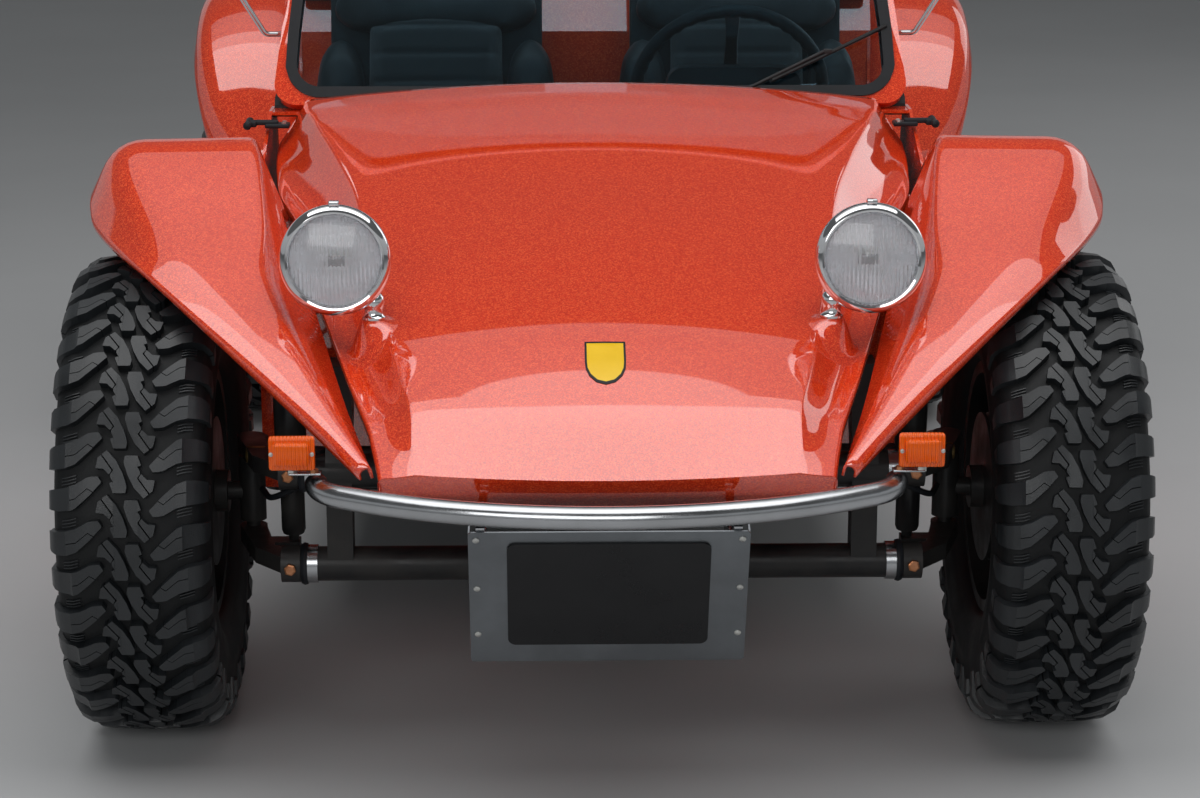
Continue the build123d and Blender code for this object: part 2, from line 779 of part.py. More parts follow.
# Headlamps: bowl with its ring and ball foot, and the lens
lamp_centre_x = 400
lamp_centre_y = -250
lamp_centre_z = 816
lamp_ring_radius = 82
lens_radius = 71
lens_dome = 14
lamp_tilt = 3
foot_ball_radius = 17
bowl_depth = 92


def lamp_plane(side):
    """A plane along the lamp's axis: its y points forwards out of the lens."""
    forward = Vector(0, -math.cos(math.radians(lamp_tilt)), math.sin(math.radians(lamp_tilt)))
    across = Vector(1, 0, 0)
    return Plane(
        origin=(side * lamp_centre_x, row_y(lamp_centre_y), lamp_centre_z), x_dir=across,
        z_dir=across.cross(forward),
    )


with BuildPart() as headlamp_bowls:
    for side in (1, -1):
        plane = lamp_plane(side)
        with BuildSketch(plane):
            with BuildLine():
                Polyline(
                    (0, -10), (lens_radius + seat_gap, -10), (lens_radius + seat_gap, 14), (76, 18),
                    (lamp_ring_radius - 2, 13), (lamp_ring_radius, 3), (lamp_ring_radius - 3, -8),
                    (0.93 * lamp_ring_radius, -0.3 * bowl_depth),
                    (0.84 * lamp_ring_radius, -0.56 * bowl_depth),
                    (0.64 * lamp_ring_radius, -0.8 * bowl_depth),
                    (0.36 * lamp_ring_radius, -0.94 * bowl_depth), (0, -bowl_depth), close=True)
            make_face()
        revolve(axis=Axis(plane.origin, plane.y_dir))
        with BuildSketch(Plane(origin=(side * lamp_foot_x, row_y(lamp_foot_y), lamp_foot_z + seat_gap))):
            Circle(15)
        extrude(amount=24)
        foot_centre = (side * lamp_foot_x, row_y(lamp_foot_y), lamp_foot_z + 23)
        with BuildSketch(Plane(origin=foot_centre, x_dir=(1, 0, 0), z_dir=(0, 1, 0))):
            with BuildLine():
                Polyline(*[(foot_ball_radius * across, foot_ball_radius * along) for across, along in (
                    (0, -1), (0.62, -0.82), (0.96, -0.36), (0.96, 0.36), (0.62, 0.82), (0, 1),
                )], close=True)
            make_face()
        revolve(axis=Axis(foot_centre, (0, 0, 1)))
save(headlamp_bowls, "headlamp_bowls")

lens_dome_radius = (lens_radius ** 2 + lens_dome ** 2) / (2 * lens_dome)
lens_mid_rise = math.sqrt(lens_dome_radius ** 2 - (lens_radius / 2) ** 2) - lens_dome_radius + lens_dome
with BuildPart() as headlamp_lenses:
    for side in (1, -1):
        plane = lamp_plane(side)
        with BuildSketch(plane):
            with BuildLine():
                Polyline((0, -6), (lens_radius, -6), (lens_radius, 10))
                ThreePointArc((lens_radius, 10), (lens_radius / 2, 10 + lens_mid_rise), (0, 10 + lens_dome))
                Line((0, 10 + lens_dome), (0, -6))
            make_face()
        revolve(axis=Axis(plane.origin, plane.y_dir))
save(headlamp_lenses, "headlamp_lenses")

# Latches: a base on the hood's rear corner and a T handle reaching over the gap
with BuildPart() as hood_latches:
    for side in (1, -1):
        with BuildSketch(Plane.XY.offset(latch_z)):
            with Locations((side * 569, row_y(latch_y))):
                Rectangle(48, 26)
            with Locations((side * 602, row_y(latch_y))):
                Rectangle(26, 14)
            with Locations((side * 620, row_y(latch_y))):
                SlotOverall(62, 16, rotation=90)
        extrude(amount=14)
save(hood_latches, "hood_latches")

# Plate holder: a folded sheet below the bumper
tilt = math.radians(holder_tilt)
plate_width = 286
plate_height = 194
plate_thickness = 3
holder_flange = 24


def holder_plane(forward):
    """The holder's sheet plane, its origin on the middle of the top edge."""
    base = Plane(
        origin=(0, row_y(holder_top_y), holder_top_z), x_dir=(1, 0, 0),
        z_dir=(0, -math.cos(tilt), -math.sin(tilt)),
    )
    return base.offset(forward)


def holder_back_y(z):
    """Distance behind the axle of the holder's back at a height."""
    return holder_top_y + (holder_top_z - z) * math.tan(tilt) + holder_sheet / math.cos(tilt) + seat_gap


with BuildPart() as plate_holder:
    with BuildSketch(holder_plane(0)):
        with Locations((0, -holder_height / 2)):
            RectangleRounded(holder_width, holder_height, 6)
    extrude(amount=-holder_sheet)
    with BuildSketch(holder_plane(0)):
        with Locations(*[(side * (holder_width - holder_sheet) / 2, -holder_height / 2) for side in (1, -1)]):
            Rectangle(holder_sheet, holder_height - 14)
    extrude(amount=-holder_flange)
save(plate_holder, "plate_holder")

# Front bumper: one bent tube on two bars from the beam, which also carry the plate holder
bumper_end_x = 416
bar_width = 12
bar_top_z = 470
bar_low_z = 440
with BuildPart() as bumper_front:
    with BuildLine() as bumper_line:
        front = ThreePointArc(
            (-bumper_back_x, row_y(bumper_back_y), bumper_z), (0, row_y(bumper_front_y), bumper_z),
            (bumper_back_x, row_y(bumper_back_y), bumper_z))
        TangentArc(front @ 1, (bumper_end_x, row_y(bumper_end_y), bumper_z), tangent=front % 1)
        TangentArc(front @ 0, (-bumper_end_x, row_y(bumper_end_y), bumper_z), tangent=-(front % 0))
    with BuildSketch(Plane(origin=(0, row_y(bumper_front_y), bumper_z), x_dir=(0, 1, 0), z_dir=(1, 0, 0))):
        Circle(bumper_radius)
    sweep(path=bumper_line.wires()[0])
    for side in (1, -1):
        with BuildSketch(Plane.YZ.offset(side * bumper_bar_x - bar_width / 2)):
            side_profile((
                (-640, bumper_z + 14), (-618, bumper_z - 15), (-574, bar_top_z + 6), (-550, bar_top_z),
                (beam_y - beam_tube_radius - seat_gap, bar_top_z),
                (beam_y - beam_tube_radius - seat_gap, bar_low_z), (holder_back_y(bar_low_z), bar_low_z),
                (holder_back_y(holder_top_z - 6), holder_top_z - 6),
                (holder_back_y(holder_top_z - 6), holder_top_z + 5), (-646, bumper_z - 12),
            ))
        extrude(amount=bar_width)
save(bumper_front, "bumper_front")

# Hood hinge: lugs on the bumper's bars with the pins that the hood's ears turn on
with BuildPart() as hood_hinges:
    for side in (1, -1):
        lug_x = side * (ear_x + 10)
        with BuildSketch(Plane.YZ.offset(lug_x - 3)):
            # Cut back in front and below, where the hood's lip swings through
            side_profile((
                (hinge_y - 13, hinge_z), (hinge_y - 8, hinge_z - 24), (hinge_y + 9, hinge_z - 36),
                (hinge_y + 9, bar_top_z + seat_gap), (hinge_y + 46, bar_top_z + seat_gap),
                (hinge_y + 14, hinge_z)))
            with Locations((row_y(hinge_y), hinge_z)):
                Circle(14)
        extrude(amount=6)
        with BuildSketch(Plane.YZ.offset(side * (ear_x - 8))):
            with Locations((row_y(hinge_y), hinge_z)):
                Circle(hinge_pin_radius)
        extrude(amount=side * 22)
save(hood_hinges, "hood_hinges")

# Indicators on short stems from the bumper's ends
indicator_x = 448
indicator_y = -530
indicator_z = 588
with BuildPart() as indicators:
    for side in (1, -1):
        with BuildSketch(cross_plane(indicator_y + 14)):
            with Locations((side * indicator_x, indicator_z)):
                RectangleRounded(66, 50, 7)
        extrude(amount=14)
        with BuildSketch(cross_plane(indicator_y)):
            with Locations((side * indicator_x, indicator_z)):
                RectangleRounded(60, 44, 6)
        extrude(amount=16, taper=6)
        with BuildSketch(Plane.XY.offset(bumper_z + bumper_radius + seat_gap)):
            with Locations((side * 417, row_y(indicator_y + 8))):
                Rectangle(12, 9)
        extrude(amount=indicator_z - bumper_z - bumper_radius)
save(indicators, "indicators")

# Shock absorbers, two at the front and two at the back: rows of X, then distance and
# height at the foot and at the head
rear_shock_x = 505
shock_seat_gap = 0.9
shock_rows = (
    (shock_x, shock_foot_y, shock_stud_z + shock_seat_gap, shock_head_y, shock_head_z),
    (rear_shock_x, 2034, axle_z + 34 + shock_seat_gap, 1985, 800),
)
with BuildPart() as shock_absorbers:
    for side in (1, -1):
        for x, foot_y, foot_z, head_y, head_z in shock_rows:
            foot = (side * x, row_y(foot_y), foot_z)
            way = (0, head_y - foot_y, head_z - foot_z)
            length = math.hypot(*way)
            plane = Plane(origin=foot, x_dir=(1, 0, 0), z_dir=way)
            # Rod from eye to eye, the lower tube and the wider dust cover over it
            for start, end, radius in (
                (0, length, shock_pin_radius), (14, 0.6 * length, shock_radius),
                (0.42 * length, length - 18, shock_cover_radius),
            ):
                with BuildSketch(plane.offset(start)):
                    Circle(radius)
                extrude(amount=end - start)
save(shock_absorbers, "shock_absorbers")

# Tyres: a many-sided carcass and staggered shoulder lugs. Rows of X and radius
carcass_rows = (
    (-118, 290), (-98, tread_radius), (98, tread_radius), (118, 290),
)
bead_x = rim_width / 2 - 6.4
bead_step_radius = 204.5
lug_rows = (
    (10, tread_radius - 8), (10, tyre_radius), (100, tyre_radius), (tyre_width / 2, 348), (116, 306),
)
wheel_rows = (
    ("front_left", front_track / 2, front_axle_y, 1), ("front_right", -front_track / 2, front_axle_y, -1),
    ("rear_left", rear_track / 2, rear_axle_y, 1), ("rear_right", -rear_track / 2, rear_axle_y, -1),
)


def tyre_section(x, radius):
    with BuildSketch(Plane.YZ.offset(x)) as section:
        RegularPolygon(radius, tyre_sides, rotation=180 / tyre_sides)
    return section.sketch


def lug_planes(first_angle):
    """Planes through the wheel's axis, one for each lug of a row round the tyre."""
    planes = []
    for step in range(lugs_per_side):
        angle = math.radians(first_angle + step * 360 / lugs_per_side)
        radial = Vector(0, math.cos(angle), math.sin(angle))
        planes.append(Plane(origin=(0, 0, 0), x_dir=(1, 0, 0), z_dir=Vector(1, 0, 0).cross(radial)))
    return planes


with BuildPart() as tyre_form:
    loft([tyre_section(x, radius) for x, radius in carcass_rows], ruled=True)
    for edge in (1, -1):
        bulge_x, bulge_radius = carcass_rows[-1]
        loft([tyre_section(edge * bulge_x, bulge_radius - 12),
              tyre_section(edge * bead_x, bead_step_radius)], ruled=True, mode=Mode.SUBTRACT)
    with BuildSketch(Plane.YZ.offset(-tyre_width)):
        RegularPolygon(bead_radius, tyre_sides, rotation=180 / tyre_sides)
    extrude(amount=2 * tyre_width, mode=Mode.SUBTRACT)
    for edge, first_angle in ((1, -90), (-1, -90 + 180 / lugs_per_side)):
        with BuildSketch(*lug_planes(first_angle)):
            with BuildLine():
                Polyline(*[(edge * x, radius) for x, radius in lug_rows], close=True)
            make_face()
        extrude(amount=lug_length / 2, both=True)

# Rims with hub and drum, turned, with round holes in the disc. Rows of X and radius
rim_rows = (
    (-90, rim_lip_radius), (-84, rim_lip_radius), (-84, rim_radius), (84, rim_radius),
    (84, rim_lip_radius), (90, rim_lip_radius), (90, 184), (52, 178), (44, 152), (30, 96),
    (50, 60), (62, 56), (62, 0), (48, 0), (48, spindle_radius + running_clearance),
    (-80, spindle_radius + running_clearance), (-80, drum_radius), (14, drum_radius + 6),
    (30, 152), (38, 178), (-78, 184), (-90, 184),
)
with BuildPart() as rim_form:
    with BuildSketch(Plane.XY):
        with BuildLine():
            Polyline(*rim_rows, close=True)
        make_face()
    revolve(axis=Axis.X)
    with BuildSketch(Plane.YZ):
        with PolarLocations(rim_hole_circle, rim_holes):
            Circle(rim_hole_radius)
    extrude(amount=70, mode=Mode.SUBTRACT)

for name, centre_x, centre_y, side in wheel_rows:
    with BuildPart() as tyre:
        with Locations(Location((centre_x, centre_y, axle_z), (0, 0, 0 if side > 0 else 180))):
            add(tyre_form.part, clean=False)
    save(tyre, f"tyre_{name}")
    with BuildPart() as rim:
        with Locations(Location((centre_x, centre_y, axle_z), (0, 0, 0 if side > 0 else 180))):
            add(rim_form.part, clean=False)
    save(rim, f"rim_{name}")

# Rear axle: torsion tube, gearbox, axle tubes and the trailing plates
torsion_y = 1640
torsion_z = 300
gearbox_rows = ((1690, 60, 300, 400), (1760, 96, 286, 430), (1960, 118, 276, 470), (2070, 150, 262, 500))
with BuildPart() as rear_axle:
    with BuildSketch(Plane.YZ.offset(-540)):
        with Locations((row_y(torsion_y), torsion_z)):
            Circle(40)
    extrude(amount=1080)
    gearbox = []
    for distance, half, low_z, high_z in gearbox_rows:
        with BuildSketch(cross_plane(distance)) as section:
            with Locations((0, (low_z + high_z) / 2)):
                RectangleRounded(2 * half, high_z - low_z, 30)
        gearbox.append(section.sketch)
    loft(gearbox, ruled=True)
    with BuildSketch(cross_plane(1700)):
        with Locations((0, 345)):
            RectangleRounded(90, 80, 10)
    extrude(amount=60)
    with BuildSketch(Plane.YZ.offset(-rear_track / 2 + 150)):
        with Locations((rear_axle_y, axle_z)):
            Circle(34)
    extrude(amount=rear_track - 300)
    for side in (1, -1):
        with BuildSketch(Plane.YZ.offset(side * (rear_track / 2 - 170))):
            with Locations((rear_axle_y, axle_z)):
                Circle(52)
        extrude(amount=side * 60)
        with BuildSketch(Plane.YZ.offset(side * (rear_track / 2 - backing_plate_x))):
            with Locations((rear_axle_y, axle_z)):
                Circle(drum_radius)
        extrude(amount=-side * 5)
        with BuildSketch(Plane.YZ.offset(side * (rear_track / 2 - 180))):
            with Locations((rear_axle_y, axle_z)):
                Circle(spindle_radius)
        extrude(amount=side * 225)
        with BuildSketch(Plane.YZ.offset(side * 536 - 5)):
            side_profile((
                (torsion_y - 40, 280), (torsion_y - 40, 330), (1980, 420), (2070, 420), (2070, 350),
                (1980, 340)))
        extrude(amount=10)
save(rear_axle, "rear_axle")

# Engine: crankcase, finned cylinders with heads, and the fan's shroud, all open to view
crank_z = 395
crankcase_front_y = 2070.3
crankcase_back_y = 2440
fin_count = 6
cylinder_places = ((2150, 1), (2300, 1), (2180, -1), (2330, -1))
with BuildPart() as engine_block:
    with BuildSketch(cross_plane(crankcase_back_y)):
        with BuildLine():
            Polyline(
                (-90, 250), (-140, 290), (-150, 440), (-120, 500), (120, 500), (150, 440),
                (140, 290), (90, 250), close=True)
        make_face()
    extrude(amount=crankcase_back_y - crankcase_front_y)
    for distance, side in cylinder_places:
        with BuildSketch(Plane.YZ.offset(side * 140)):
            with Locations((row_y(distance), crank_z)):
                RegularPolygon(52, 12)
        extrude(amount=side * 150)
        for fin in range(fin_count):
            with BuildSketch(Plane.YZ.offset(side * (166 + fin * 18))):
                with Locations((row_y(distance), crank_z)):
                    RegularPolygon(74, 8, rotation=22.5)
            extrude(amount=side * 6)
    for side, front_y, back_y in ((1, 2080, 2370), (-1, 2110, 2400)):
        with BuildSketch(Plane.YZ.offset(side * 270)):
            side_profile(((front_y, 330), (front_y, 460), (back_y, 460), (back_y, 330)))
        extrude(amount=side * 70)
        with BuildSketch(Plane.YZ.offset(side * 340)):
            side_profile(((front_y + 8, 322), (front_y + 8, 404), (back_y - 8, 404), (back_y - 8, 322)))
        extrude(amount=side * 44, taper=8)
    # Stand and body of the generator, the crank pulley and the oil filler
    with BuildSketch(Plane.XY.offset(500)):
        with Locations((40, row_y(2340))):
            Rectangle(80, 110)
    extrude(amount=96)
    with BuildSketch(cross_plane(2450)):
        with Locations((40, 640)):
            Circle(50)
    extrude(amount=2450 - 2225.3)
    with BuildSketch(cross_plane(2476)):
        with Locations((40, 640)):
            Circle(16)
        with Locations((0, crank_z)):
            Circle(24)
    extrude(amount=60)
    with BuildSketch(cross_plane(2476)):
        with Locations((40, 640)):
            Circle(62)
        with Locations((0, crank_z)):
            Circle(84)
    extrude(amount=16)
    # Carburettor and its round air cleaner
    with BuildSketch(Plane.XY.offset(500)):
        with Locations((-90, row_y(2330))):
            Circle(24)
    extrude(amount=180)
    with BuildSketch(Plane.XY.offset(672)):
        with Locations((-90, row_y(2330))):
            Circle(86)
    extrude(amount=70)
save(engine_block, "engine_block")

with BuildPart() as fan_shroud:
    with BuildSketch(cross_plane(2225)):
        with BuildLine():
            Polyline((-176, 640), (-230, 560), (-320, 520), (-320, 462), (-150, 505), (150, 505),
                     (320, 462), (320, 520), (230, 560), (176, 640))
            ThreePointArc((176, 640), (0, 816), (-176, 640))
        make_face()
    extrude(amount=145)
    with BuildSketch(cross_plane(2079.5)):
        with Locations((0, 640)):
            Circle(120)
    extrude(amount=-30, mode=Mode.SUBTRACT)
save(fan_shroud, "fan_shroud")

# Exhaust: a silencer across the back with two tailpipes
with BuildPart() as exhaust:
    with BuildSketch(Plane.YZ.offset(-270)):
        with Locations((row_y(2545), 300)):
            Circle(62)
    extrude(amount=540)
    for side in (1, -1):
        with BuildSketch(cross_plane(2640)):
            with Locations((side * 150, 262)):
                Circle(20)
                Circle(17, mode=Mode.SUBTRACT)
        extrude(amount=70)
        with BuildLine() as header:
            FilletPolyline(
                (side * 305, row_y(2350), 330 - seat_gap), (side * 305, row_y(2350), 262),
                (side * 230, row_y(2420), 262), (side * 200, row_y(2520), 280), radius=24)
        with BuildSketch(header.line ^ 0):
            Circle(19)
        sweep(path=header.line)
save(exhaust, "exhaust")

# Rear bumper: a U tube from the insides of the tub's tail
tail_bar_z = 640
tail_bar_x = tub_half_width - shell - 1 - seat_gap - bumper_radius
tail_bar_y = 2672
with BuildPart() as bumper_rear:
    with BuildLine() as tail_line:
        FilletPolyline(
            (-tail_bar_x, row_y(2280), tail_bar_z), (-tail_bar_x, row_y(tail_bar_y), tail_bar_z),
            (tail_bar_x, row_y(tail_bar_y), tail_bar_z), (tail_bar_x, row_y(2280), tail_bar_z), radius=130)
    with BuildSketch(tail_line.line ^ 0):
        Circle(bumper_radius)
    sweep(path=tail_line.line)
save(bumper_rear, "bumper_rear")

# Tail lamps on the flat backs of the rear fenders
with BuildPart() as tail_lamps:
    for side in (1, -1):
        with BuildSketch(cross_plane(rear_fender_rows[-1][0] + seat_gap)):
            with Locations((side * lamp_x, lamp_z)):
                Circle(44)
        extrude(amount=-26, taper=8)
save(tail_lamps, "tail_lamps")

# Bare number plates: one on the front holder, one hung from the rear bumper
with BuildPart() as bare_plates:
    with BuildSketch(holder_plane(seat_gap)):
        with Locations((0, -holder_height / 2 + 8)):
            RectangleRounded(plate_width, plate_height, 12)
    extrude(amount=plate_thickness)
    with BuildSketch(cross_plane(tail_bar_y + plate_thickness / 2)):
        with Locations((0, tail_bar_z - bumper_radius - seat_gap - 75)):
            RectangleRounded(330, 150, 8)
    extrude(amount=plate_thickness)
save(bare_plates, "bare_plates")
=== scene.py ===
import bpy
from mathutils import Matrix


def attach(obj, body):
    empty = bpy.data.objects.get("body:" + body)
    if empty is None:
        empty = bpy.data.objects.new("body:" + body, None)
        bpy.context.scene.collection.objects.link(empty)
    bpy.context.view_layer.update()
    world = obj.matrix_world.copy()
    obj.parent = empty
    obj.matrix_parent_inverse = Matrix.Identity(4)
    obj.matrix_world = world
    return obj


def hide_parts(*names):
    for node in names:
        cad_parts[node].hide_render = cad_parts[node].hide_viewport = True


bl_info = {
    "name": "Dune Buggy Dressing",
    "version": (1, 0, 0),
    "blender": (4, 5, 0),
    "location": "View3D > Sidebar > Buggy",
    "description": "Dresses the packed dune buggy frame with paint, tread, upholstery and fittings",
    "category": "Object",
}

import math
from collections import namedtuple

import bmesh
import bpy
from mathutils import Matrix, Vector
from mathutils.bvhtree import BVHTree

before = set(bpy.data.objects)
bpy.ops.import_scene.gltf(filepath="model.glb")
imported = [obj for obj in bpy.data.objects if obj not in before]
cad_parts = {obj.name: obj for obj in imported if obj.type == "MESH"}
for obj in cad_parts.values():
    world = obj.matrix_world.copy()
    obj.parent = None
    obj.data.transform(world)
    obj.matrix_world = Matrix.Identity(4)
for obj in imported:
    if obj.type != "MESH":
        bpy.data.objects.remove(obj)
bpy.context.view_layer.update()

FRONT_AXLE = -998
AXLE_Z = 381
TYRE_RADIUS = 381
SIDES = (("left", 1), ("right", -1))
WHEELS = (
    ("front_left", 710, -998, 1), ("front_right", -710, -998, -1),
    ("rear_left", 725, 1034, 1), ("rear_right", -725, 1034, -1),
)


# Geometry helpers. Sizes are in millimetres and points in metres. A distance is measured back
# from the front axle

# Edges that turn by more degrees than this stay sharp: on modelled pieces, and on turned and
# CAD ones
SHARP = 40
SHARP_TURNED = 35
# A moulded skin's thickness, and the step between the rows that form the hood and front fenders
SKIN = 4
ROW_STEP = 14
# The most of a side that one rounded corner may take up
CORNER_SHARE = 0.48


def spot(x, distance, z):
    """The point in the frame, in metres."""
    return Vector((x / 1000, (distance + FRONT_AXLE) / 1000, z / 1000))


def linked(name, data):
    """A new object in the scene."""
    made = bpy.data.objects.new(name, data)
    bpy.context.scene.collection.objects.link(made)
    return made


def piece_of(name, mesh, body, material):
    """A new piece with its material, on its body."""
    piece = linked(name, mesh)
    mesh.materials.append(bpy.data.materials[f"look_{material}"])
    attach(piece, body)
    return piece


def mesh_piece(name, points, faces, body, material, smooth_angle=SHARP):
    mesh = bpy.data.meshes.new(name)
    mesh.from_pydata([tuple(point) for point in points], [], faces)
    mesh.validate()
    mesh.shade_smooth()
    mesh.set_sharp_from_angle(angle=math.radians(smooth_angle))
    return piece_of(name, mesh, body, material)


def grid_faces(rows, columns, wrap_rows=False, wrap_columns=False, flip=False):
    faces = []
    for row in range(rows if wrap_rows else rows - 1):
        for column in range(columns if wrap_columns else columns - 1):
            a = row * columns + column
            b = row * columns + (column + 1) % columns
            c = (row + 1) % rows * columns + (column + 1) % columns
            d = (row + 1) % rows * columns + column
            faces.append((d, c, b, a) if flip else (a, b, c, d))
    return faces


def grid_piece(name, lines, body, material, wrap_rows=False, wrap_columns=False, flip=False,
               smooth_angle=SHARP):
    """A skin through lines that all have the same number of points."""
    points = [point for line in lines for point in line]
    faces = grid_faces(len(lines), len(lines[0]), wrap_rows, wrap_columns, flip)
    return mesh_piece(name, points, faces, body, material, smooth_angle)


def turned(name, profile, centre, axis, body, slot, material, steps=64, smooth_angle=SHARP_TURNED):
    """A turned form from rows of distance along the axis and radius."""
    axis = Vector(axis).normalized()
    across = axis.orthogonal().normalized()
    lift = axis.cross(across)
    lines = []
    for step in range(steps):
        angle = 2 * math.pi * step / steps
        way = across * math.cos(angle) + lift * math.sin(angle)
        lines.append([Vector(centre) + (axis * along + way * radius) / 1000 for along, radius in profile])
    return grid_piece(name, lines, body, material, wrap_rows=True, flip=True, smooth_angle=smooth_angle)


def tube(name, points, radius, body, slot, material, bend=0.0, sides=16):
    """A round tube through the points, with its inner corners rounded by a bend reach."""
    line = [Vector(point) for point in points]
    if bend:
        line = rounded_line(line, [bend / 1000] * (len(line) - 2), 8)
    lines = []
    normal = None
    for index, point in enumerate(line):
        ahead = line[min(index + 1, len(line) - 1)] - line[max(index - 1, 0)]
        ahead.normalize()
        if normal is None:
            normal = ahead.orthogonal().normalized()
        normal = (normal - ahead * normal.dot(ahead)).normalized()
        other = ahead.cross(normal)
        lines.append([
            point + (normal * math.cos(2 * math.pi * k / sides) + other * math.sin(2 * math.pi * k / sides))
            * radius / 1000 for k in range(sides)])
    piece = grid_piece(name, lines, body, material, wrap_columns=True)
    close_ends(piece)
    return piece


def close_ends(piece):
    """Fills the open rims of a piece and turns all its faces outwards."""
    form = bmesh.new()
    form.from_mesh(piece.data)
    bmesh.ops.holes_fill(form, edges=[edge for edge in form.edges if edge.is_boundary], sides=0)
    bmesh.ops.recalc_face_normals(form, faces=form.faces)
    form.to_mesh(piece.data)
    form.free()
    piece.data.shade_smooth()
    piece.data.set_sharp_from_angle(angle=math.radians(SHARP))


def face_up(piece):
    """Turns a sheet's faces so that they look up."""
    form = bmesh.new()
    form.from_mesh(piece.data)
    if sum(face.normal.z * face.calc_area() for face in form.faces) < 0:
        bmesh.ops.reverse_faces(form, faces=form.faces)
    form.to_mesh(piece.data)
    form.free()


def block(name, centre, size, body, slot, material, bevel=2.0, turn=(0, 0, 0)):
    """A box with rounded edges, its size in mm and its turn in degrees."""
    form = bmesh.new()
    bmesh.ops.create_cube(form, size=1)
    bmesh.ops.scale(form, vec=Vector(size) / 1000, verts=form.verts)
    bmesh.ops.bevel(form, geom=form.edges[:], offset=bevel / 1000, segments=3, affect="EDGES", profile=0.5)
    way = Matrix.Translation(centre)
    for angle, axis in zip(turn, "XYZ"):
        way = way @ Matrix.Rotation(math.radians(angle), 4, axis)
    bmesh.ops.transform(form, matrix=way, verts=form.verts)
    mesh = bpy.data.meshes.new(name)
    form.to_mesh(mesh)
    form.free()
    mesh.shade_smooth()
    mesh.set_sharp_from_angle(angle=math.radians(SHARP))
    return piece_of(name, mesh, body, material)


def rounded_line(points, reaches, arc_steps):
    """A line whose inner corners are rounded, always with the same number of points.

    A reach is how far from its corner the rounding starts, in the points' own unit.
    """
    points = [Vector(point) for point in points]
    line = [points[0]]
    for before, corner, after, reach in zip(points, points[1:], points[2:], reaches):
        back, ahead = before - corner, after - corner
        size = min(reach, CORNER_SHARE * back.length, CORNER_SHARE * ahead.length)
        start, end = corner + back.normalized() * size, corner + ahead.normalized() * size
        for step in range(arc_steps + 1):
            t = step / arc_steps
            line.append(start * (1 - t) ** 2 + corner * 2 * t * (1 - t) + end * t * t)
    line.append(points[-1])
    return line


def smooth_rows(rows, steps):
    """Rows of numbers filled in smoothly between the given ones, along the first column."""
    slopes = []
    for index in range(len(rows)):
        low, high = max(index - 1, 0), min(index + 1, len(rows) - 1)
        span = rows[high][0] - rows[low][0]
        slopes.append([(b - a) / span for a, b in zip(rows[low], rows[high])])
    filled = []
    for index in range(len(rows) - 1):
        span = rows[index + 1][0] - rows[index][0]
        count = max(1, round(abs(span) / steps))
        for step in range(count):
            t = step / count
            h1, h2 = 2 * t ** 3 - 3 * t ** 2 + 1, t ** 3 - 2 * t ** 2 + t
            h3, h4 = 3 * t ** 2 - 2 * t ** 3, t ** 3 - t ** 2
            filled.append([
                h1 * a + h2 * span * sa + h3 * b + h4 * span * sb
                for a, b, sa, sb in zip(rows[index], rows[index + 1], slopes[index], slopes[index + 1])])
    filled.append(list(rows[-1]))
    return filled


def softened(line, passes):
    """A line with its inner points averaged with their neighbours."""
    for _ in range(passes):
        line = [line[0]] + [
            before * 0.25 + here * 0.5 + after * 0.25
            for before, here, after in zip(line, line[1:], line[2:])] + [line[-1]]
    return line


def thicken(piece):
    """Gives a moulded skin its thickness, inwards."""
    shell = piece.modifiers.new("shell", "SOLIDIFY")
    shell.thickness = SKIN / 1000
    shell.offset = -1
    shell.use_even_offset = True


def soften_edges(piece, width):
    """Rounds a piece's sharp edges by a small width."""
    edge = piece.modifiers.new("edges", "BEVEL")
    edge.width = width / 1000
    edge.segments = 3
    edge.limit_method = "ANGLE"
    edge.angle_limit = math.radians(SHARP)
    edge.harden_normals = True


def dress(node, material, bevel):
    """Gives a CAD node its material, smooth shading and, where asked, softer edges."""
    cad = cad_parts[node]
    cad.data.materials.clear()
    cad.data.materials.append(bpy.data.materials[f"look_{material}"])
    cad.data.shade_smooth()
    cad.data.set_sharp_from_angle(angle=math.radians(SHARP_TURNED))
    if bevel:
        soften_edges(cad, bevel)


# Materials

def shader_node(tree, kind, inputs=(), **settings):
    """A new node with its settings, and inputs that are linked to a socket or set to a value."""
    made = tree.nodes.new(kind)
    for key, value in settings.items():
        setattr(made, key, value)
    for key, value in dict(inputs).items():
        if isinstance(value, bpy.types.NodeSocket):
            tree.links.new(value, made.inputs[key])
        else:
            made.inputs[key].default_value = value
    return made


def shader_group(name, inputs, outputs):
    """An empty shader group, from names with defaults and names with socket kinds."""
    group = bpy.data.node_groups.new(name, "ShaderNodeTree")
    for label, default in inputs:
        socket = group.interface.new_socket(label, in_out="INPUT", socket_type="NodeSocketFloat")
        socket.default_value = default
    for label, kind in outputs:
        group.interface.new_socket(label, in_out="OUTPUT", socket_type=f"NodeSocket{kind}")
    return group, group.nodes.new("NodeGroupInput"), group.nodes.new("NodeGroupOutput")


def shared_group(tree, name, inputs=()):
    """A shader group placed in a material, with the material's own values."""
    return shader_node(tree, "ShaderNodeGroup", inputs, node_tree=bpy.data.node_groups[name])


def mixed(tree, mask, dark, light):
    """A colour that goes from the dark to the light one with a mask."""
    mix = shader_node(tree, "ShaderNodeMix", {"Factor": mask, "A": (*dark, 1), "B": (*light, 1)},
                      data_type="RGBA")
    return mix.outputs["Result"]


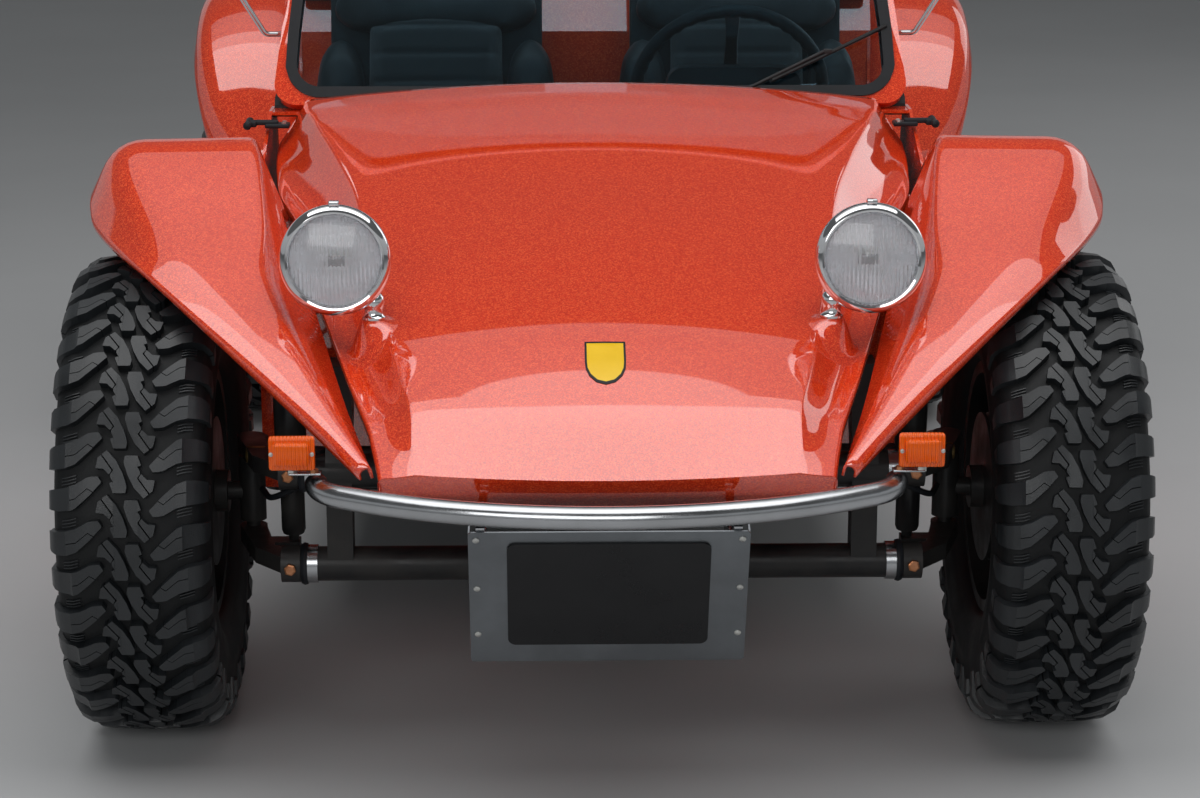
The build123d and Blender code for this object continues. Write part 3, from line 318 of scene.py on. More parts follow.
def make_flake_group():
    """Paint flakes: each cell has its own tilt and brightness."""
    group, given, out = shader_group(
        "paint_flake", (("Scale", 620), ("Tilt", 0.35)), (("Mask", "Float"), ("Normal", "Vector")))
    place = shader_node(group, "ShaderNodeTexCoord")
    cells = shader_node(group, "ShaderNodeTexVoronoi",
                        {"Vector": place.outputs["Object"], "Scale": given.outputs["Scale"]})
    centred = shader_node(group, "ShaderNodeVectorMath", {0: cells.outputs["Color"], 1: (0.5, 0.5, 0.5)},
                          operation="SUBTRACT")
    tilted = shader_node(group, "ShaderNodeVectorMath",
                         {0: centred.outputs[0], "Scale": given.outputs["Tilt"]}, operation="SCALE")
    surface = shader_node(group, "ShaderNodeNewGeometry")
    added = shader_node(group, "ShaderNodeVectorMath", {0: surface.outputs["Normal"], 1: tilted.outputs[0]},
                        operation="ADD")
    unit = shader_node(group, "ShaderNodeVectorMath", {0: added.outputs[0]}, operation="NORMALIZE")
    parts = shader_node(group, "ShaderNodeSeparateColor", {"Color": cells.outputs["Color"]})
    group.links.new(parts.outputs[0], out.inputs["Mask"])
    group.links.new(unit.outputs[0], out.inputs["Normal"])


def make_grain_group():
    """Fine relief and a cloudy mask, for rubber, castings, plastic and worn paint."""
    group, given, out = shader_group(
        "surface_grain", (("Scale", 300), ("Depth", 0.0004), ("Cloud Scale", 9)),
        (("Cloud", "Float"), ("Normal", "Vector")))
    place = shader_node(group, "ShaderNodeTexCoord")
    fine = shader_node(group, "ShaderNodeTexNoise",
                       {"Vector": place.outputs["Object"], "Scale": given.outputs["Scale"], "Detail": 3})
    cloud = shader_node(group, "ShaderNodeTexNoise",
                        {"Vector": place.outputs["Object"], "Scale": given.outputs["Cloud Scale"],
                         "Detail": 6, "Roughness": 0.6})
    spread = shader_node(group, "ShaderNodeMapRange",
                         {"Value": cloud.outputs["Fac"], "From Min": 0.35, "From Max": 0.7})
    relief = shader_node(group, "ShaderNodeBump",
                         {"Height": fine.outputs["Fac"], "Distance": given.outputs["Depth"], "Strength": 1.0})
    group.links.new(spread.outputs["Result"], out.inputs["Cloud"])
    group.links.new(relief.outputs["Normal"], out.inputs["Normal"])


def make_weave_group():
    """A woven cloth: crossing threads as relief and as a mask."""
    group, given, out = shader_group("weave", (("Scale", 350), ("Depth", 0.0006)),
                                     (("Mask", "Float"), ("Normal", "Vector")))
    place = shader_node(group, "ShaderNodeTexCoord")
    heights = []
    for direction in ("X", "Z"):
        threads = shader_node(
            group, "ShaderNodeTexWave",
            {"Vector": place.outputs["Object"], "Scale": given.outputs["Scale"], "Distortion": 0.4},
            wave_type="BANDS", bands_direction=direction)
        heights.append(threads.outputs["Fac"])
    product = shader_node(group, "ShaderNodeMath", {0: heights[0], 1: heights[1]}, operation="MULTIPLY")
    relief = shader_node(group, "ShaderNodeBump",
                         {"Height": product.outputs[0], "Distance": given.outputs["Depth"]})
    group.links.new(product.outputs[0], out.inputs["Mask"])
    group.links.new(relief.outputs["Normal"], out.inputs["Normal"])


def make_flute_group():
    """Upright flutes, for the amber and the red lenses."""
    group, given, out = shader_group("flutes", (("Scale", 50), ("Depth", 0.002)), (("Normal", "Vector"),))
    place = shader_node(group, "ShaderNodeTexCoord")
    bands = shader_node(
        group, "ShaderNodeTexWave", {"Vector": place.outputs["Object"], "Scale": given.outputs["Scale"]},
        wave_type="BANDS", bands_direction="X")
    relief = shader_node(
        group, "ShaderNodeBump", {"Height": bands.outputs["Fac"], "Distance": given.outputs["Depth"]})
    group.links.new(relief.outputs["Normal"], out.inputs["Normal"])


def new_material(name, **sockets):
    """A material with its constant values on the shader's own sockets."""
    made = bpy.data.materials.new(f"look_{name}")
    made.use_nodes = True
    shader = made.node_tree.nodes["Principled BSDF"]
    for label, value in sockets.items():
        shader.inputs[label.replace("_", " ")].default_value = value
    return made.node_tree, shader


def grained(name, dark, light, roughness, scale, depth, cloud_scale, rough_spread, **sockets):
    """A material whose colour and roughness vary with the grain group."""
    tree, shader = new_material(name, **sockets)
    grain = shared_group(tree, "surface_grain", {"Scale": scale, "Depth": depth, "Cloud Scale": cloud_scale})
    colour = mixed(tree, grain.outputs["Cloud"], dark, light)
    rough = shader_node(tree, "ShaderNodeMapRange", {
        "Value": grain.outputs["Cloud"], "To Min": roughness, "To Max": roughness + rough_spread})
    tree.links.new(colour, shader.inputs["Base Color"])
    tree.links.new(rough.outputs["Result"], shader.inputs["Roughness"])
    tree.links.new(grain.outputs["Normal"], shader.inputs["Normal"])


# Grained finishes: name, dark and light colour, roughness, grain scale, grain depth, cloud scale,
# spread of the roughness and metallic
GRAINED = (
    ("chassis_paint", (0.012, 0.012, 0.013), (0.03, 0.028, 0.026), 0.28, 120, 0.0003, 14, 0.3, 0.0),
    # The tread's rubber is near black, as the tyre is, with a blue tint that is painted reflection of the sky
    # on its blocks
    ("tyre_rubber", (0.008, 0.0095, 0.011), (0.018, 0.021, 0.024), 0.33, 500, 0.0003, 11, 0.18, 0.0),
    # The carcass's rubber is a darker, rougher copy of the tyre rubber: painted shade for the groove floors
    # between the blocks, and the side walls, which are part of the carcass, get it too
    ("shaded_tyre_rubber", (0.003, 0.0035, 0.004), (0.007, 0.008, 0.009), 0.5, 500, 0.0003, 11, 0.2, 0.0),
    ("rim_paint", (0.012, 0.012, 0.012), (0.022, 0.02, 0.02), 0.3, 200, 0.0001, 16, 0.2, 0.0),
    ("chrome", (0.8, 0.8, 0.81), (0.7, 0.7, 0.72), 0.03, 40, 0.00002, 12, 0.05, 1.0),
    ("satin_steel", (0.42, 0.43, 0.44), (0.52, 0.53, 0.55), 0.16, 700, 0.00004, 10, 0.1, 1.0),
    ("brushed_sheet", (0.16, 0.17, 0.18), (0.22, 0.235, 0.25), 0.3, 800, 0.00006, 7, 0.12, 1.0),
    ("black_rubber", (0.006, 0.007, 0.009), (0.014, 0.016, 0.02), 0.42, 600, 0.0001, 20, 0.2, 0.0),
    ("black_plastic", (0.012, 0.012, 0.013), (0.022, 0.022, 0.023), 0.4, 900, 0.0005, 15, 0.1, 0.0),
    ("plate_enamel", (0.006, 0.006, 0.007), (0.01, 0.01, 0.011), 0.25, 60, 0.00005, 12, 0.1, 0.0),
    ("cast_alloy", (0.26, 0.26, 0.25), (0.42, 0.41, 0.4), 0.42, 260, 0.0006, 18, 0.2, 0.85),
    ("black_tin", (0.01, 0.01, 0.01), (0.02, 0.02, 0.02), 0.15, 90, 0.0001, 10, 0.15, 0.0),
    ("dial_white", (0.7, 0.7, 0.68), (0.8, 0.8, 0.78), 0.5, 100, 0.0001, 60, 0.1, 0.0),
    ("copper_bolt", (0.4, 0.16, 0.07), (0.55, 0.26, 0.14), 0.32, 300, 0.0002, 60, 0.2, 1.0),
    ("brass_fitting", (0.42, 0.28, 0.1), (0.6, 0.43, 0.2), 0.3, 300, 0.0002, 50, 0.2, 1.0),
    ("zinc_bolt", (0.5, 0.5, 0.48), (0.66, 0.66, 0.62), 0.3, 300, 0.0001, 60, 0.15, 1.0),
    ("reflector", (0.93, 0.96, 1.0), (0.96, 0.98, 1.0), 0.25, 90, 0.00001, 30, 0.05, 0.3),
    ("badge_enamel", (0.82, 0.5, 0.01), (0.9, 0.56, 0.02), 0.15, 90, 0.00002, 30, 0.05, 0.0),
    ("leathercloth", (0.012, 0.015, 0.017), (0.028, 0.032, 0.035), 0.38, 480, 0.0006, 9, 0.12, 0.0),
)


# How strongly the tread's rubber and the other grained finishes reflect
TREAD_SHINE = 0.55
GRAINED_SHINE = 0.3


def make_materials(look):
    make_flake_group()
    make_grain_group()
    make_weave_group()
    make_flute_group()
    for name, dark, light, rough, scale, depth, cloud, spread, metallic in GRAINED:
        grained(name, dark, light, rough, scale, depth, cloud, spread, Metallic=metallic,
                Specular_IOR_Level=TREAD_SHINE if name == "tyre_rubber" else GRAINED_SHINE)

    tree, shader = new_material(
        "body_paint", Metallic=0.15, Roughness=0.45, Specular_IOR_Level=0.0,
        Coat_Weight=1.0, Coat_Roughness=0.035, Coat_IOR=2.15)
    flake = shared_group(tree, "paint_flake", {"Scale": look.flake_scale, "Tilt": look.flake_tilt})
    ramp = shader_node(tree, "ShaderNodeValToRGB", {"Fac": flake.outputs["Mask"]})
    ramp.color_ramp.elements[0].color = (*look.paint_dark, 1)
    ramp.color_ramp.elements[1].color = (*look.paint_light, 1)
    ramp.color_ramp.elements.new(0.6).color = (*look.paint_middle, 1)
    tree.links.new(ramp.outputs["Color"], shader.inputs["Base Color"])
    tree.links.new(flake.outputs["Normal"], shader.inputs["Normal"])

    # The lens is partly white instead of clear glass: painted light that stands in for the lit reflector seen
    # through it
    new_material("lens_glass", Transmission_Weight=0.84, Roughness=0.0, IOR=1.45,
                 Base_Color=(0.97, 0.98, 1, 1))
    new_material("screen_glass", Transmission_Weight=1.0, Roughness=0.0, IOR=1.02,
                 Base_Color=(0.36, 0.56, 0.66, 1), Coat_Weight=1.0, Coat_Roughness=0.0, Coat_IOR=1.5)
    for name, colour, transmission, scale in (
            ("amber_lens", look.indicator_colour, 0.0, 60), ("red_lens", (0.5, 0.004, 0.004), 0.25, 50)):
        tree, shader = new_material(
            name, Base_Color=(*colour, 1), Transmission_Weight=transmission, Roughness=0.1, IOR=1.45,
            Coat_Weight=0.4, Coat_Roughness=0.03)
        flutes = shared_group(tree, "flutes", {"Scale": scale})
        tree.links.new(flutes.outputs["Normal"], shader.inputs["Normal"])

    tree, shader = new_material("seat_cloth", Roughness=0.85, Sheen_Weight=0.3, Sheen_Roughness=0.4)
    weave = shared_group(tree, "weave")
    colour = mixed(tree, weave.outputs["Mask"], (0.012, 0.018, 0.021), (0.04, 0.05, 0.056))
    tree.links.new(colour, shader.inputs["Base Color"])
    tree.links.new(weave.outputs["Normal"], shader.inputs["Normal"])

    tree, shader = new_material("floor_plain", Roughness=0.75)
    grain = shared_group(tree, "surface_grain", {"Cloud Scale": 0.8})
    colour = mixed(tree, grain.outputs["Cloud"], (0.47, 0.475, 0.48), (0.5, 0.505, 0.51))
    tree.links.new(colour, shader.inputs["Base Color"])


# Hood: distance, half width, edge height, shoulder half width, shoulder height, crown height,
# scallop depth and forward bow
HOOD_ROWS = (
    (748, 578, 818, 520, 903, 934, 4, 0),
    (660, 573, 813, 509, 898, 929, 10, 0),
    (610, 569, 810, 498, 892, 922, 16, 0),
    (560, 564, 807, 486, 886, 914, 22, 0),
    (400, 545, 795, 440, 856, 889, 32, 0),
    (250, 505, 776, 402, 824, 854, 34, 0),
    (0, 468, 740, 362, 764, 802, 30, 0),
    (-150, 430, 704, 340, 732, 764, 26, 4),
    (-300, 390, 654, 316, 692, 718, 24, 16),
    (-370, 369, 628, 301, 666, 682, 19, 30),
    (-436, 350, 606, 285, 641, 641, 12, 41),
    (-450, 346, 598, 283, 634, 629, 11, 43),
    (-464, 344, 592, 281, 625, 617, 10, 41),
    (-500, 337, 578, 278, 600, 591, 5, 28),
    (-552, 328, 558, 272, 563, 555, 1, 8),
)

# The hood's half widths are less this gap beside the fenders
HOOD_GAP = 3
# Shares of the way up the flank and in from the shoulder, closer at the crease between them
FLANK_SHARES = (0.06, 0.14, 0.22, 0.3, 0.38, 0.46, 0.54, 0.62, 0.7, 0.78, 0.85, 0.91, 0.955, 0.985, 1.0)
CROWN_SHARES = (0.99, 0.97, 0.94, 0.9, 0.84, 0.76, 0.67, 0.57, 0.46, 0.35, 0.23, 0.12, 0.0)
# Below its last row the nose rolls in: steps in, back and down from its half width and height
NOSE_ROLL = ((1, 1, 3), (2, 4, 9), (3, 12, 22), (4, 40, 50))
NOSE_HALF = 330
NOSE_Z = 556
# The pods under the lamps' feet: the foot's place, the rings' reaches, the flat top's reach, the
# width of the fall beside it and how much further it goes forward
LAMP_FOOT_AT = (345, -236, 718)
POD_REACHES = (2, 12, 16, 18, 20, 23, 26, 30, 34, 39, 44)
POD_FLAT = 15
POD_FALL = 28
POD_FORWARD = 1.2
# The bare badge: half widths and distances forward from the middle round the shield, the
# middle's distance, and rings as shares of the outline and of the lift over the hood
SHIELD = (
    (-30, -42), (-15, -42), (0, -42), (15, -42), (30, -42), (30, -20), (30, 2), (29, 16), (24, 30), (14, 42),
    (0, 47), (-14, 42), (-24, 30), (-29, 16), (-30, 2), (-30, -20),
)
BADGE_DISTANCE = -391
BADGE_RINGS = ((0.0, 1.0), (0.5, 1.0), (0.95, 1.0), (1.0, 0.7), (1.0, -1.0))


def hood_line(row):
    """One line across the hood: both flanks hollowed, closer points at the crease beside them."""
    distance, half, edge_z, shoulder_x, shoulder_z, crown_z, scallop, bow = row
    half -= HOOD_GAP
    flank = [Vector((half - 2, edge_z - 18)), Vector((half - 0.5, edge_z - 8)), Vector((half, edge_z - 2))]
    for t in FLANK_SHARES:
        flank.append(Vector((
            half + (shoulder_x - half) * t,
            edge_z + (shoulder_z - edge_z) * t - scallop * math.sin(math.pi * t ** 0.9))))
    crown = []
    for s in CROWN_SHARES:
        crown.append(Vector((shoulder_x * s, shoulder_z + (crown_z - shoulder_z) * (1 - s * s))))
    line = flank + crown
    line = softened(line + [Vector((-p.x, p.y)) for p in reversed(line[:-1])], 2)
    return [
        spot(p.x, distance - bow * max(0.0, 1 - (p.x / shoulder_x) ** 2), p.y) for p in line]


def make_hood():
    lines = [hood_line(row) for row in smooth_rows(HOOD_ROWS, ROW_STEP)]
    front = lines[-1]
    middle = len(front) // 2
    for inset, back, down in NOSE_ROLL:
        low = spot(0, 0, NOSE_Z - down).z
        lines.append([
            Vector((p.x * (1 - inset / NOSE_HALF), p.y + back / 1000,
                    min(p.z, low + (p.z - front[middle].z) * 0.2)))
            for p in front])
    hood = grid_piece("hood_skin", lines, "hood", "body_paint", flip=True, smooth_angle=60)
    face_up(hood)
    surface = BVHTree.FromPolygons(
        [vert.co for vert in hood.data.vertices], [tuple(face.vertices) for face in hood.data.polygons])
    thicken(hood)
    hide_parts("hood")

    def height(x, y):
        """The skin's height at a place, in metres, looked up from above it."""
        hit = surface.ray_cast(Vector((x, y, 1.3)), Vector((0, 0, -1)))[0]
        return hit.z if hit else surface.find_nearest(Vector((x, y, 0.7)))[0].z

    make_lamp_pods(height)
    make_badge(height)


def make_lamp_pods(height):
    """Moulded pods under the lamps' feet, drawn out along the crease."""
    for name, side in SIDES:
        foot = spot(side * LAMP_FOOT_AT[0], LAMP_FOOT_AT[1], LAMP_FOOT_AT[2])
        rings = []
        for reach in POD_REACHES:
            blend = min(1.0, max(0.0, (reach - POD_FLAT) / POD_FALL))
            fall = 1 - blend * blend * (3 - 2 * blend)
            ring = []
            for step in range(40):
                angle = 2 * math.pi * step / 40
                x = foot.x + reach * math.cos(angle) / 1000
                y = foot.y + reach * math.sin(angle) * (POD_FORWARD if math.sin(angle) < 0 else 1.0) / 1000
                low = height(x, y) - 0.001
                ring.append(Vector((x, y, low + (foot.z - low) * fall if reach > POD_FLAT else foot.z)))
            rings.append(ring)
        pod = grid_piece(f"lamp_pod_{name}", rings, "hood", "body_paint",
                         wrap_columns=True, smooth_angle=70)
        face_up(pod)


def make_badge(height):
    """A bare shield, its face proud of a black edge."""
    for label, scale, lift, slot, material in (
            ("badge_edge", 1.0, 1.6, "black_rubber", "black_rubber"),
            ("badge_face", 0.9, 2.3, "amber_lens", "badge_enamel")):
        rings = []
        for part, rise in BADGE_RINGS:
            ring = []
            for x, down in SHIELD:
                here = Vector((x * part * scale / 1000,
                               spot(0, BADGE_DISTANCE - (down - 2) * part * scale, 0).y))
                ring.append(Vector((here.x, here.y, height(here.x, here.y) + lift * rise / 1000)))
            rings.append(ring)
        face_up(grid_piece(label, rings, "hood", material, wrap_columns=True, smooth_angle=30))


# Front fenders: distance, then X and Z of the edge beside the hood, the ridge, the top and the
# outer edge, and the lip's depth below that edge
FRONT_FENDER_ROWS = (
    (-545, 335, 556, 338, 570, 345, 569, 350, 563, 8),
    (-390, 383, 622, 425, 655, 462, 656, 482, 648, 12),
    (-160, 439, 700, 523, 773, 636, 784, 688, 766, 6),
    (-40, 466, 726, 530, 832, 704, 838, 756, 788, 8),
    (60, 488, 748, 542, 888, 756, 886, 803, 808, 10),
    (112, 496, 756, 549, 912, 772, 909, 816, 822, 12),
    (150, 502, 762, 556, 922, 779, 919, 821, 832, 14),
    (190, 509, 768, 560, 921, 780, 918, 822, 832, 16),
    (300, 526, 782, 572, 900, 778, 895, 822, 816, 20),
    (430, 560, 796, 585, 868, 772, 852, 816, 790, 28),
    (480, 591, 812, 597, 838, 760, 806, 808, 768, 32),
    (560, 591, 700, 598, 716, 690, 676, 786, 652, 32),
    (660, 591, 616, 598, 624, 660, 616, 712, 604, 32),
)


def front_section(row):
    edge_x, edge_z, ridge_x, ridge_z, top_x, top_z, outer_x, outer_z, lip = row[1:]
    return [(edge_x, edge_z), (ridge_x, ridge_z), (top_x, top_z), (outer_x, outer_z),
            (outer_x - 2, outer_z - lip)]


def rear_section(row):
    top_z, outer_x, drop = row[1:]
    return [(REAR_INNER_X, top_z - 6), (outer_x - 110, top_z), (outer_x - 14, top_z - 0.22 * drop),
            (outer_x, top_z - drop), (outer_x - 4, top_z - drop - 32)]


def fender_piece(name, rows, section, roundings, step, side):
    """A fender's skin in body paint, from sections whose inner corners are rounded."""
    lines = []
    for row in smooth_rows(rows, step):
        line = rounded_line([(side * x, z) for x, z in section(row)], roundings, 6)
        lines.append([spot(p.x, row[0], p.y) for p in line])
    fender = grid_piece(name, lines, "chassis", "body_paint", flip=side > 0, smooth_angle=60)
    thicken(fender)
    return fender


def make_front_fenders():
    for name, side in SIDES:
        fender = fender_piece(
            f"front_fender_{name}", FRONT_FENDER_ROWS, front_section, (11, 74, 8), ROW_STEP, side)
        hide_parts(f"fender_front_{name}")


# Rear fenders: distance, top height, outer half width and drop to the widest point
REAR_FENDER_ROWS = (
    (1440, 632, 690, 12),
    (1490, 765, 776, 60),
    (1560, 902, 815, 90),
    (1680, 985, 829, 110),
    (1850, 1012, 831, 115),
    (2080, 1002, 831, 115),
    (2280, 950, 829, 110),
    (2410, 880, 822, 95),
    (2500, 800, 810, 80),
)
REAR_INNER_X = 591
REAR_ROW_STEP = 24
# The panel that closes a rear fender's tail: X and Z round it, and the distances of its faces
TAIL_PANEL = ((591, 794), (640, 798), (716, 798), (770, 788), (798, 768), (807, 720), (780, 585), (591, 585))
TAIL_FACES = (2497, 2492)


def make_rear_fenders():
    for name, side in SIDES:
        fender = fender_piece(
            f"rear_fender_{name}", REAR_FENDER_ROWS, rear_section, (60, 60, 30), REAR_ROW_STEP, side)
        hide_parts(f"fender_rear_{name}")
        points = [spot(side * x, distance, z) for distance in TAIL_FACES for x, z in TAIL_PANEL]
        count = len(TAIL_PANEL)
        faces = [tuple(range(count)), tuple(reversed(range(count, 2 * count)))]
        faces += [(k, (k + 1) % count, count + (k + 1) % count, count + k) for k in range(count)]
        tail = mesh_piece(f"tail_panel_{name}", points, faces, "chassis", "body_paint")
        close_ends(tail)
        soften_edges(tail, 2)


# Tyres. The carcass is rows of X and radius. The tread's base is rows of arc position from the
# middle, X, radius, the outward direction in X and in radius, and lug height
CARCASS = (
    (80, 205), (88, 206), (97, 214), (104, 226), (106, 230), (109, 234), (113, 250), (115.5, 270),
    (116.5, 274), (116.5, 280), (115.5, 284), (114.5, 300), (113.5, 322), (111, 340), (104, 353),
    (90, 361), (60, 365), (0, 366),
)
TREAD_BASE = (
    (0, 0, 364, 0.0, 1.0, 17), (60, 60, 363.5, 0.03, 1.0, 16.5), (88, 88, 360, 0.15, 0.99, 16),
    (104, 102, 352, 0.5, 0.87, 15), (120, 110, 339, 0.85, 0.53, 10), (145, 112.5, 315, 1.0, 0.08, 6),
    (168, 112.5, 292, 1.0, 0.0, 3.5),
)
# The pattern repeats this often round the tyre, about every 66.5 mm, and looks alike when turned
# by half a turn about this line, in mm round the tyre
PITCHES = 36
TURN_POINT = 28.1
# Each strip of a block: rows of arc position, its two edges round the tyre and its share of the
# full height. First the hooked centre block, cut by a narrow sipe
HOOK = (
    ((-2.0, 8, 11, 1), (-0.6, 0.6, 16, 1), (3.6, 0.1, 29.3, 1), (10, 0.2, 42, 1), (13.4, 0.3, 48.9, 1),
     (17.8, 0.4, 53.6, 1)),
    ((17.8, 0.4, 17.1, 1), (22.6, 13.6, 15.4, 1)),
    ((17.8, 17.1, 33.6, 1), (21.6, 24, 28.4, 1)),
    ((17.8, 35, 53.6, 1), (27.2, 48.2, 64.3, 1), (34.0, 57.6, 58.8, 1)),
    ((20.2, 33.2, 34.8, 1), (23.4, 28, 39.4, 1), (32.1, 36.6, 51.6, 1), (36, 36.9, 56.9, 1),
     (40.2, 37.2, 53.7, 1), (43.2, 37.6, 39.4, 1)),
)
# The pointed shoulder block, cut by a sipe along its middle
SHOULDER = (
    ((48.6, 0.8, 1.8, 1), (55.7, -6.1, 6.4, 1), (64.6, -14.5, -1.4, 1), (73.6, -22.9, -9, 1)),
    ((35.3, 15.4, 17.6, 1), (40.2, 10.4, 25.2, 1), (47.4, 2.4, 24.9, 1), (48.8, 3.4, 24.8, 1),
     (55.7, 7.8, 23.6, 1), (64.6, 0, 18.3, 1), (73.6, -7.6, 13, 1)),
)
# How a shoulder block ends at the side: a wide and a short one take turns
WIDE_END = (
    ((73.6, -22.9, -9, 1), (87.5, -28.5, -11.4, 1)), ((73.6, -7.6, 13, 1), (87.5, -10, 9, 1)),
    ((87.5, -28.5, 9, 1), (94, -29, 8, 1), (102, -29, 7, 1), (112, -28, 6, 1), (122, -27, 5, 1)),
    ((126, -24, 3, 1), (148, -22, 2, 1)),
)
SHORT_END = (
    ((73.6, -22.9, -9, 1), (81, -26.2, -10.8, 1)), ((73.6, -7.6, 13, 1), (81, -9.4, 10.8, 1)),
    ((81, -26.2, 10.8, 1), (87, -27, 9, 0.62), (100, -28, 7, 0.6), (112, -27, 6, 0.8), (124, -26, 5, 1),
     (160, -21, 1, 1)),
)
GROOVE_RIBS = tuple(((74, low + 3, low + 4.6, 0.25), (84, low, low + 1.7, 0.3), (96, low - 2, low - 0.3, 0.3))
                    for low in (14, 19, 24))


def base_at(arc):
    """The tread's base at an arc position, between the table's rows."""
    for low, high in zip(TREAD_BASE, TREAD_BASE[1:]):
        if arc <= high[0]:
            t = (arc - low[0]) / (high[0] - low[0])
            return [a + (b - a) * t for a, b in zip(low[1:], high[1:])]
    return list(TREAD_BASE[-1][1:])


def lug_points(strip, turn, half):
    """The strip's four corner lines: base and top, at both of its edges."""
    points = []
    for arc, low, high, share in strip:
        x, radius, out_x, out_r, height = base_at(abs(arc))
        slope = min(1.0, (high - low) / 6)
        for lift, edge in ((0, low - slope), (share, low), (share, high), (0, high + slope)):
            rise = height * lift
            ring = radius + out_r * rise
            angle = turn + half * (edge - TURN_POINT) / TYRE_RADIUS
            across = half * (math.copysign(x, arc) + out_x * rise)
            points.append(Vector((across, ring * math.cos(angle), ring * math.sin(angle))) / 1000)
    return points


def tread_mesh():
    """All blocks and ribs round one tyre, as points and faces."""
    points, faces = [], []
    for step in range(PITCHES):
        end = WIDE_END if step % 2 else SHORT_END
        for half in (1, -1):
            for strip in HOOK + SHOULDER + end + GROOVE_RIBS:
                first = len(points)
                points += lug_points(strip, 2 * math.pi * step / PITCHES, half)
                for row in range(len(strip) - 1):
                    for column in range(3):
                        a = first + row * 4 + column
                        faces.append((a, a + 1, a + 5, a + 4))
                last = first + (len(strip) - 1) * 4
                faces.append((first + 3, first + 2, first + 1, first))
                faces.append((last, last + 1, last + 2, last + 3))
    return points, faces


def make_tyres():
    points, faces = tread_mesh()
    profile = [(-x, r) for x, r in CARCASS] + list(reversed(CARCASS[:-1]))
    first = None
    for name, x, y, side in WHEELS:
        place = Matrix.Translation((x / 1000, y / 1000, AXLE_Z / 1000)) @ Matrix.Rotation(
            0 if side > 0 else math.pi, 4, "Z")
        if first is None:
            tread = mesh_piece(f"tread_{name}", points, faces, f"wheel_{name}", "tyre_rubber")
            form = bmesh.new()
            form.from_mesh(tread.data)
            bmesh.ops.recalc_face_normals(form, faces=form.faces)
            form.to_mesh(tread.data)
            form.free()
            tread.data.set_sharp_from_angle(angle=math.radians(SHARP_TURNED))
            # The carcass takes the darker copy of the rubber: painted shade in the grooves
            carcass = turned(f"carcass_{name}", profile, (0, 0, 0), (1, 0, 0), f"wheel_{name}",
                             "tyre_rubber", "shaded_tyre_rubber", 128)
            first = (tread, carcass)
        else:
            tread, carcass = (linked(f"{kind}_{name}", piece.data)
                              for kind, piece in zip(("tread", "carcass"), first))
        for piece in (tread, carcass):
            piece.parent = None
            piece.matrix_world = place
            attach(piece, f"wheel_{name}")
        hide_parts(f"tyre_{name}")


# Headlamps: rows of distance along the lamp's axis and radius
LAMP_BOWL = (
    (-92, 0.5), (-90, 22), (-82, 42), (-66, 59), (-40, 72), (-12, 78.5), (-8, 79), (-7, 81.5), (-3, 83.4),
    (3, 84), (9, 83), (14, 80.4), (17, 77), (18, 74), (17, 71), (14, 68.8), (10, 68.2), (3, 68.2),
)
REFLECTOR = ((3, 68.1), (-4, 62), (-18, 50), (-34, 34), (-44, 20), (-48, 8), (-48, 0.5))
LAMP_FOOT = ((0, 0.5), (0, 18), (3, 18), (6, 15), (12, 13.5), (18, 15), (26, 17), (34, 15), (40, 9),
             (42, 0.5))
LAMP_BULB = ((-48, 10), (-34, 10), (-32, 7), (-20, 7.5), (-12, 6), (-8, 0.5))
# The lamp's centre, how far it looks up, and its lens: radius, bulge at the middle, how much less
# that is at the rim, thickness, pitch and depth of the flutes, and columns and rows to each side
LAMP_AT = (400, -250, 811)
LAMP_TILT = math.radians(3)
LENS_RADIUS = 68
LENS_BULGE = 24
LENS_FALL = 13
LENS_THICKNESS = 3.6
FLUTE_PITCH = 6.2
FLUTE_DEPTH = 0.9
LENS_COLUMNS = 64
LENS_ROWS = 14


def lens_outside(x, y):
    return LENS_BULGE - LENS_FALL * (x * x + y * y) / LENS_RADIUS ** 2


def lens_inside(x, y):
    """The fluted inner face, with shallower flutes in a band across the middle."""
    band = 0.35 if -6 < y < 16 else 1.0
    flutes = FLUTE_DEPTH * band * math.cos(2 * math.pi * x / FLUTE_PITCH)
    return lens_outside(x, y) - LENS_THICKNESS - flutes


def lens_sheet(centre, ahead, up, height):
    """A round sheet in columns close enough to carry the lens's flutes."""
    across = up.cross(ahead)
    lines = []
    for column in range(-LENS_COLUMNS, LENS_COLUMNS + 1):
        x = column * (LENS_RADIUS - 0.4) / LENS_COLUMNS
        reach = math.sqrt(LENS_RADIUS ** 2 - x ** 2)
        lines.append([
            centre + (across * x + up * reach * row / LENS_ROWS
                      + ahead * height(x, reach * row / LENS_ROWS)) / 1000
            for row in range(-LENS_ROWS, LENS_ROWS + 1)])
    return lines


def lens_mesh(front, back):
    """The points and faces of a lens, from its two sheets and the rim between them."""
    wide = 2 * LENS_ROWS + 1
    count = len(front) * wide
    points = [point for line in front + back for point in line]
    faces = grid_faces(len(front), wide)
    rim = [column * wide for column in range(len(front))] + [
        (len(front) - 1) * wide + row for row in range(1, wide)] + [
        column * wide + wide - 1 for column in range(len(front) - 2, -1, -1)] + list(range(wide - 2, 0, -1))
    faces += [tuple(count + index for index in reversed(face)) for face in list(faces)]
    faces += [(a, b, count + b, count + a) for a, b in zip(rim, rim[1:] + rim[:1])]
    return points, faces


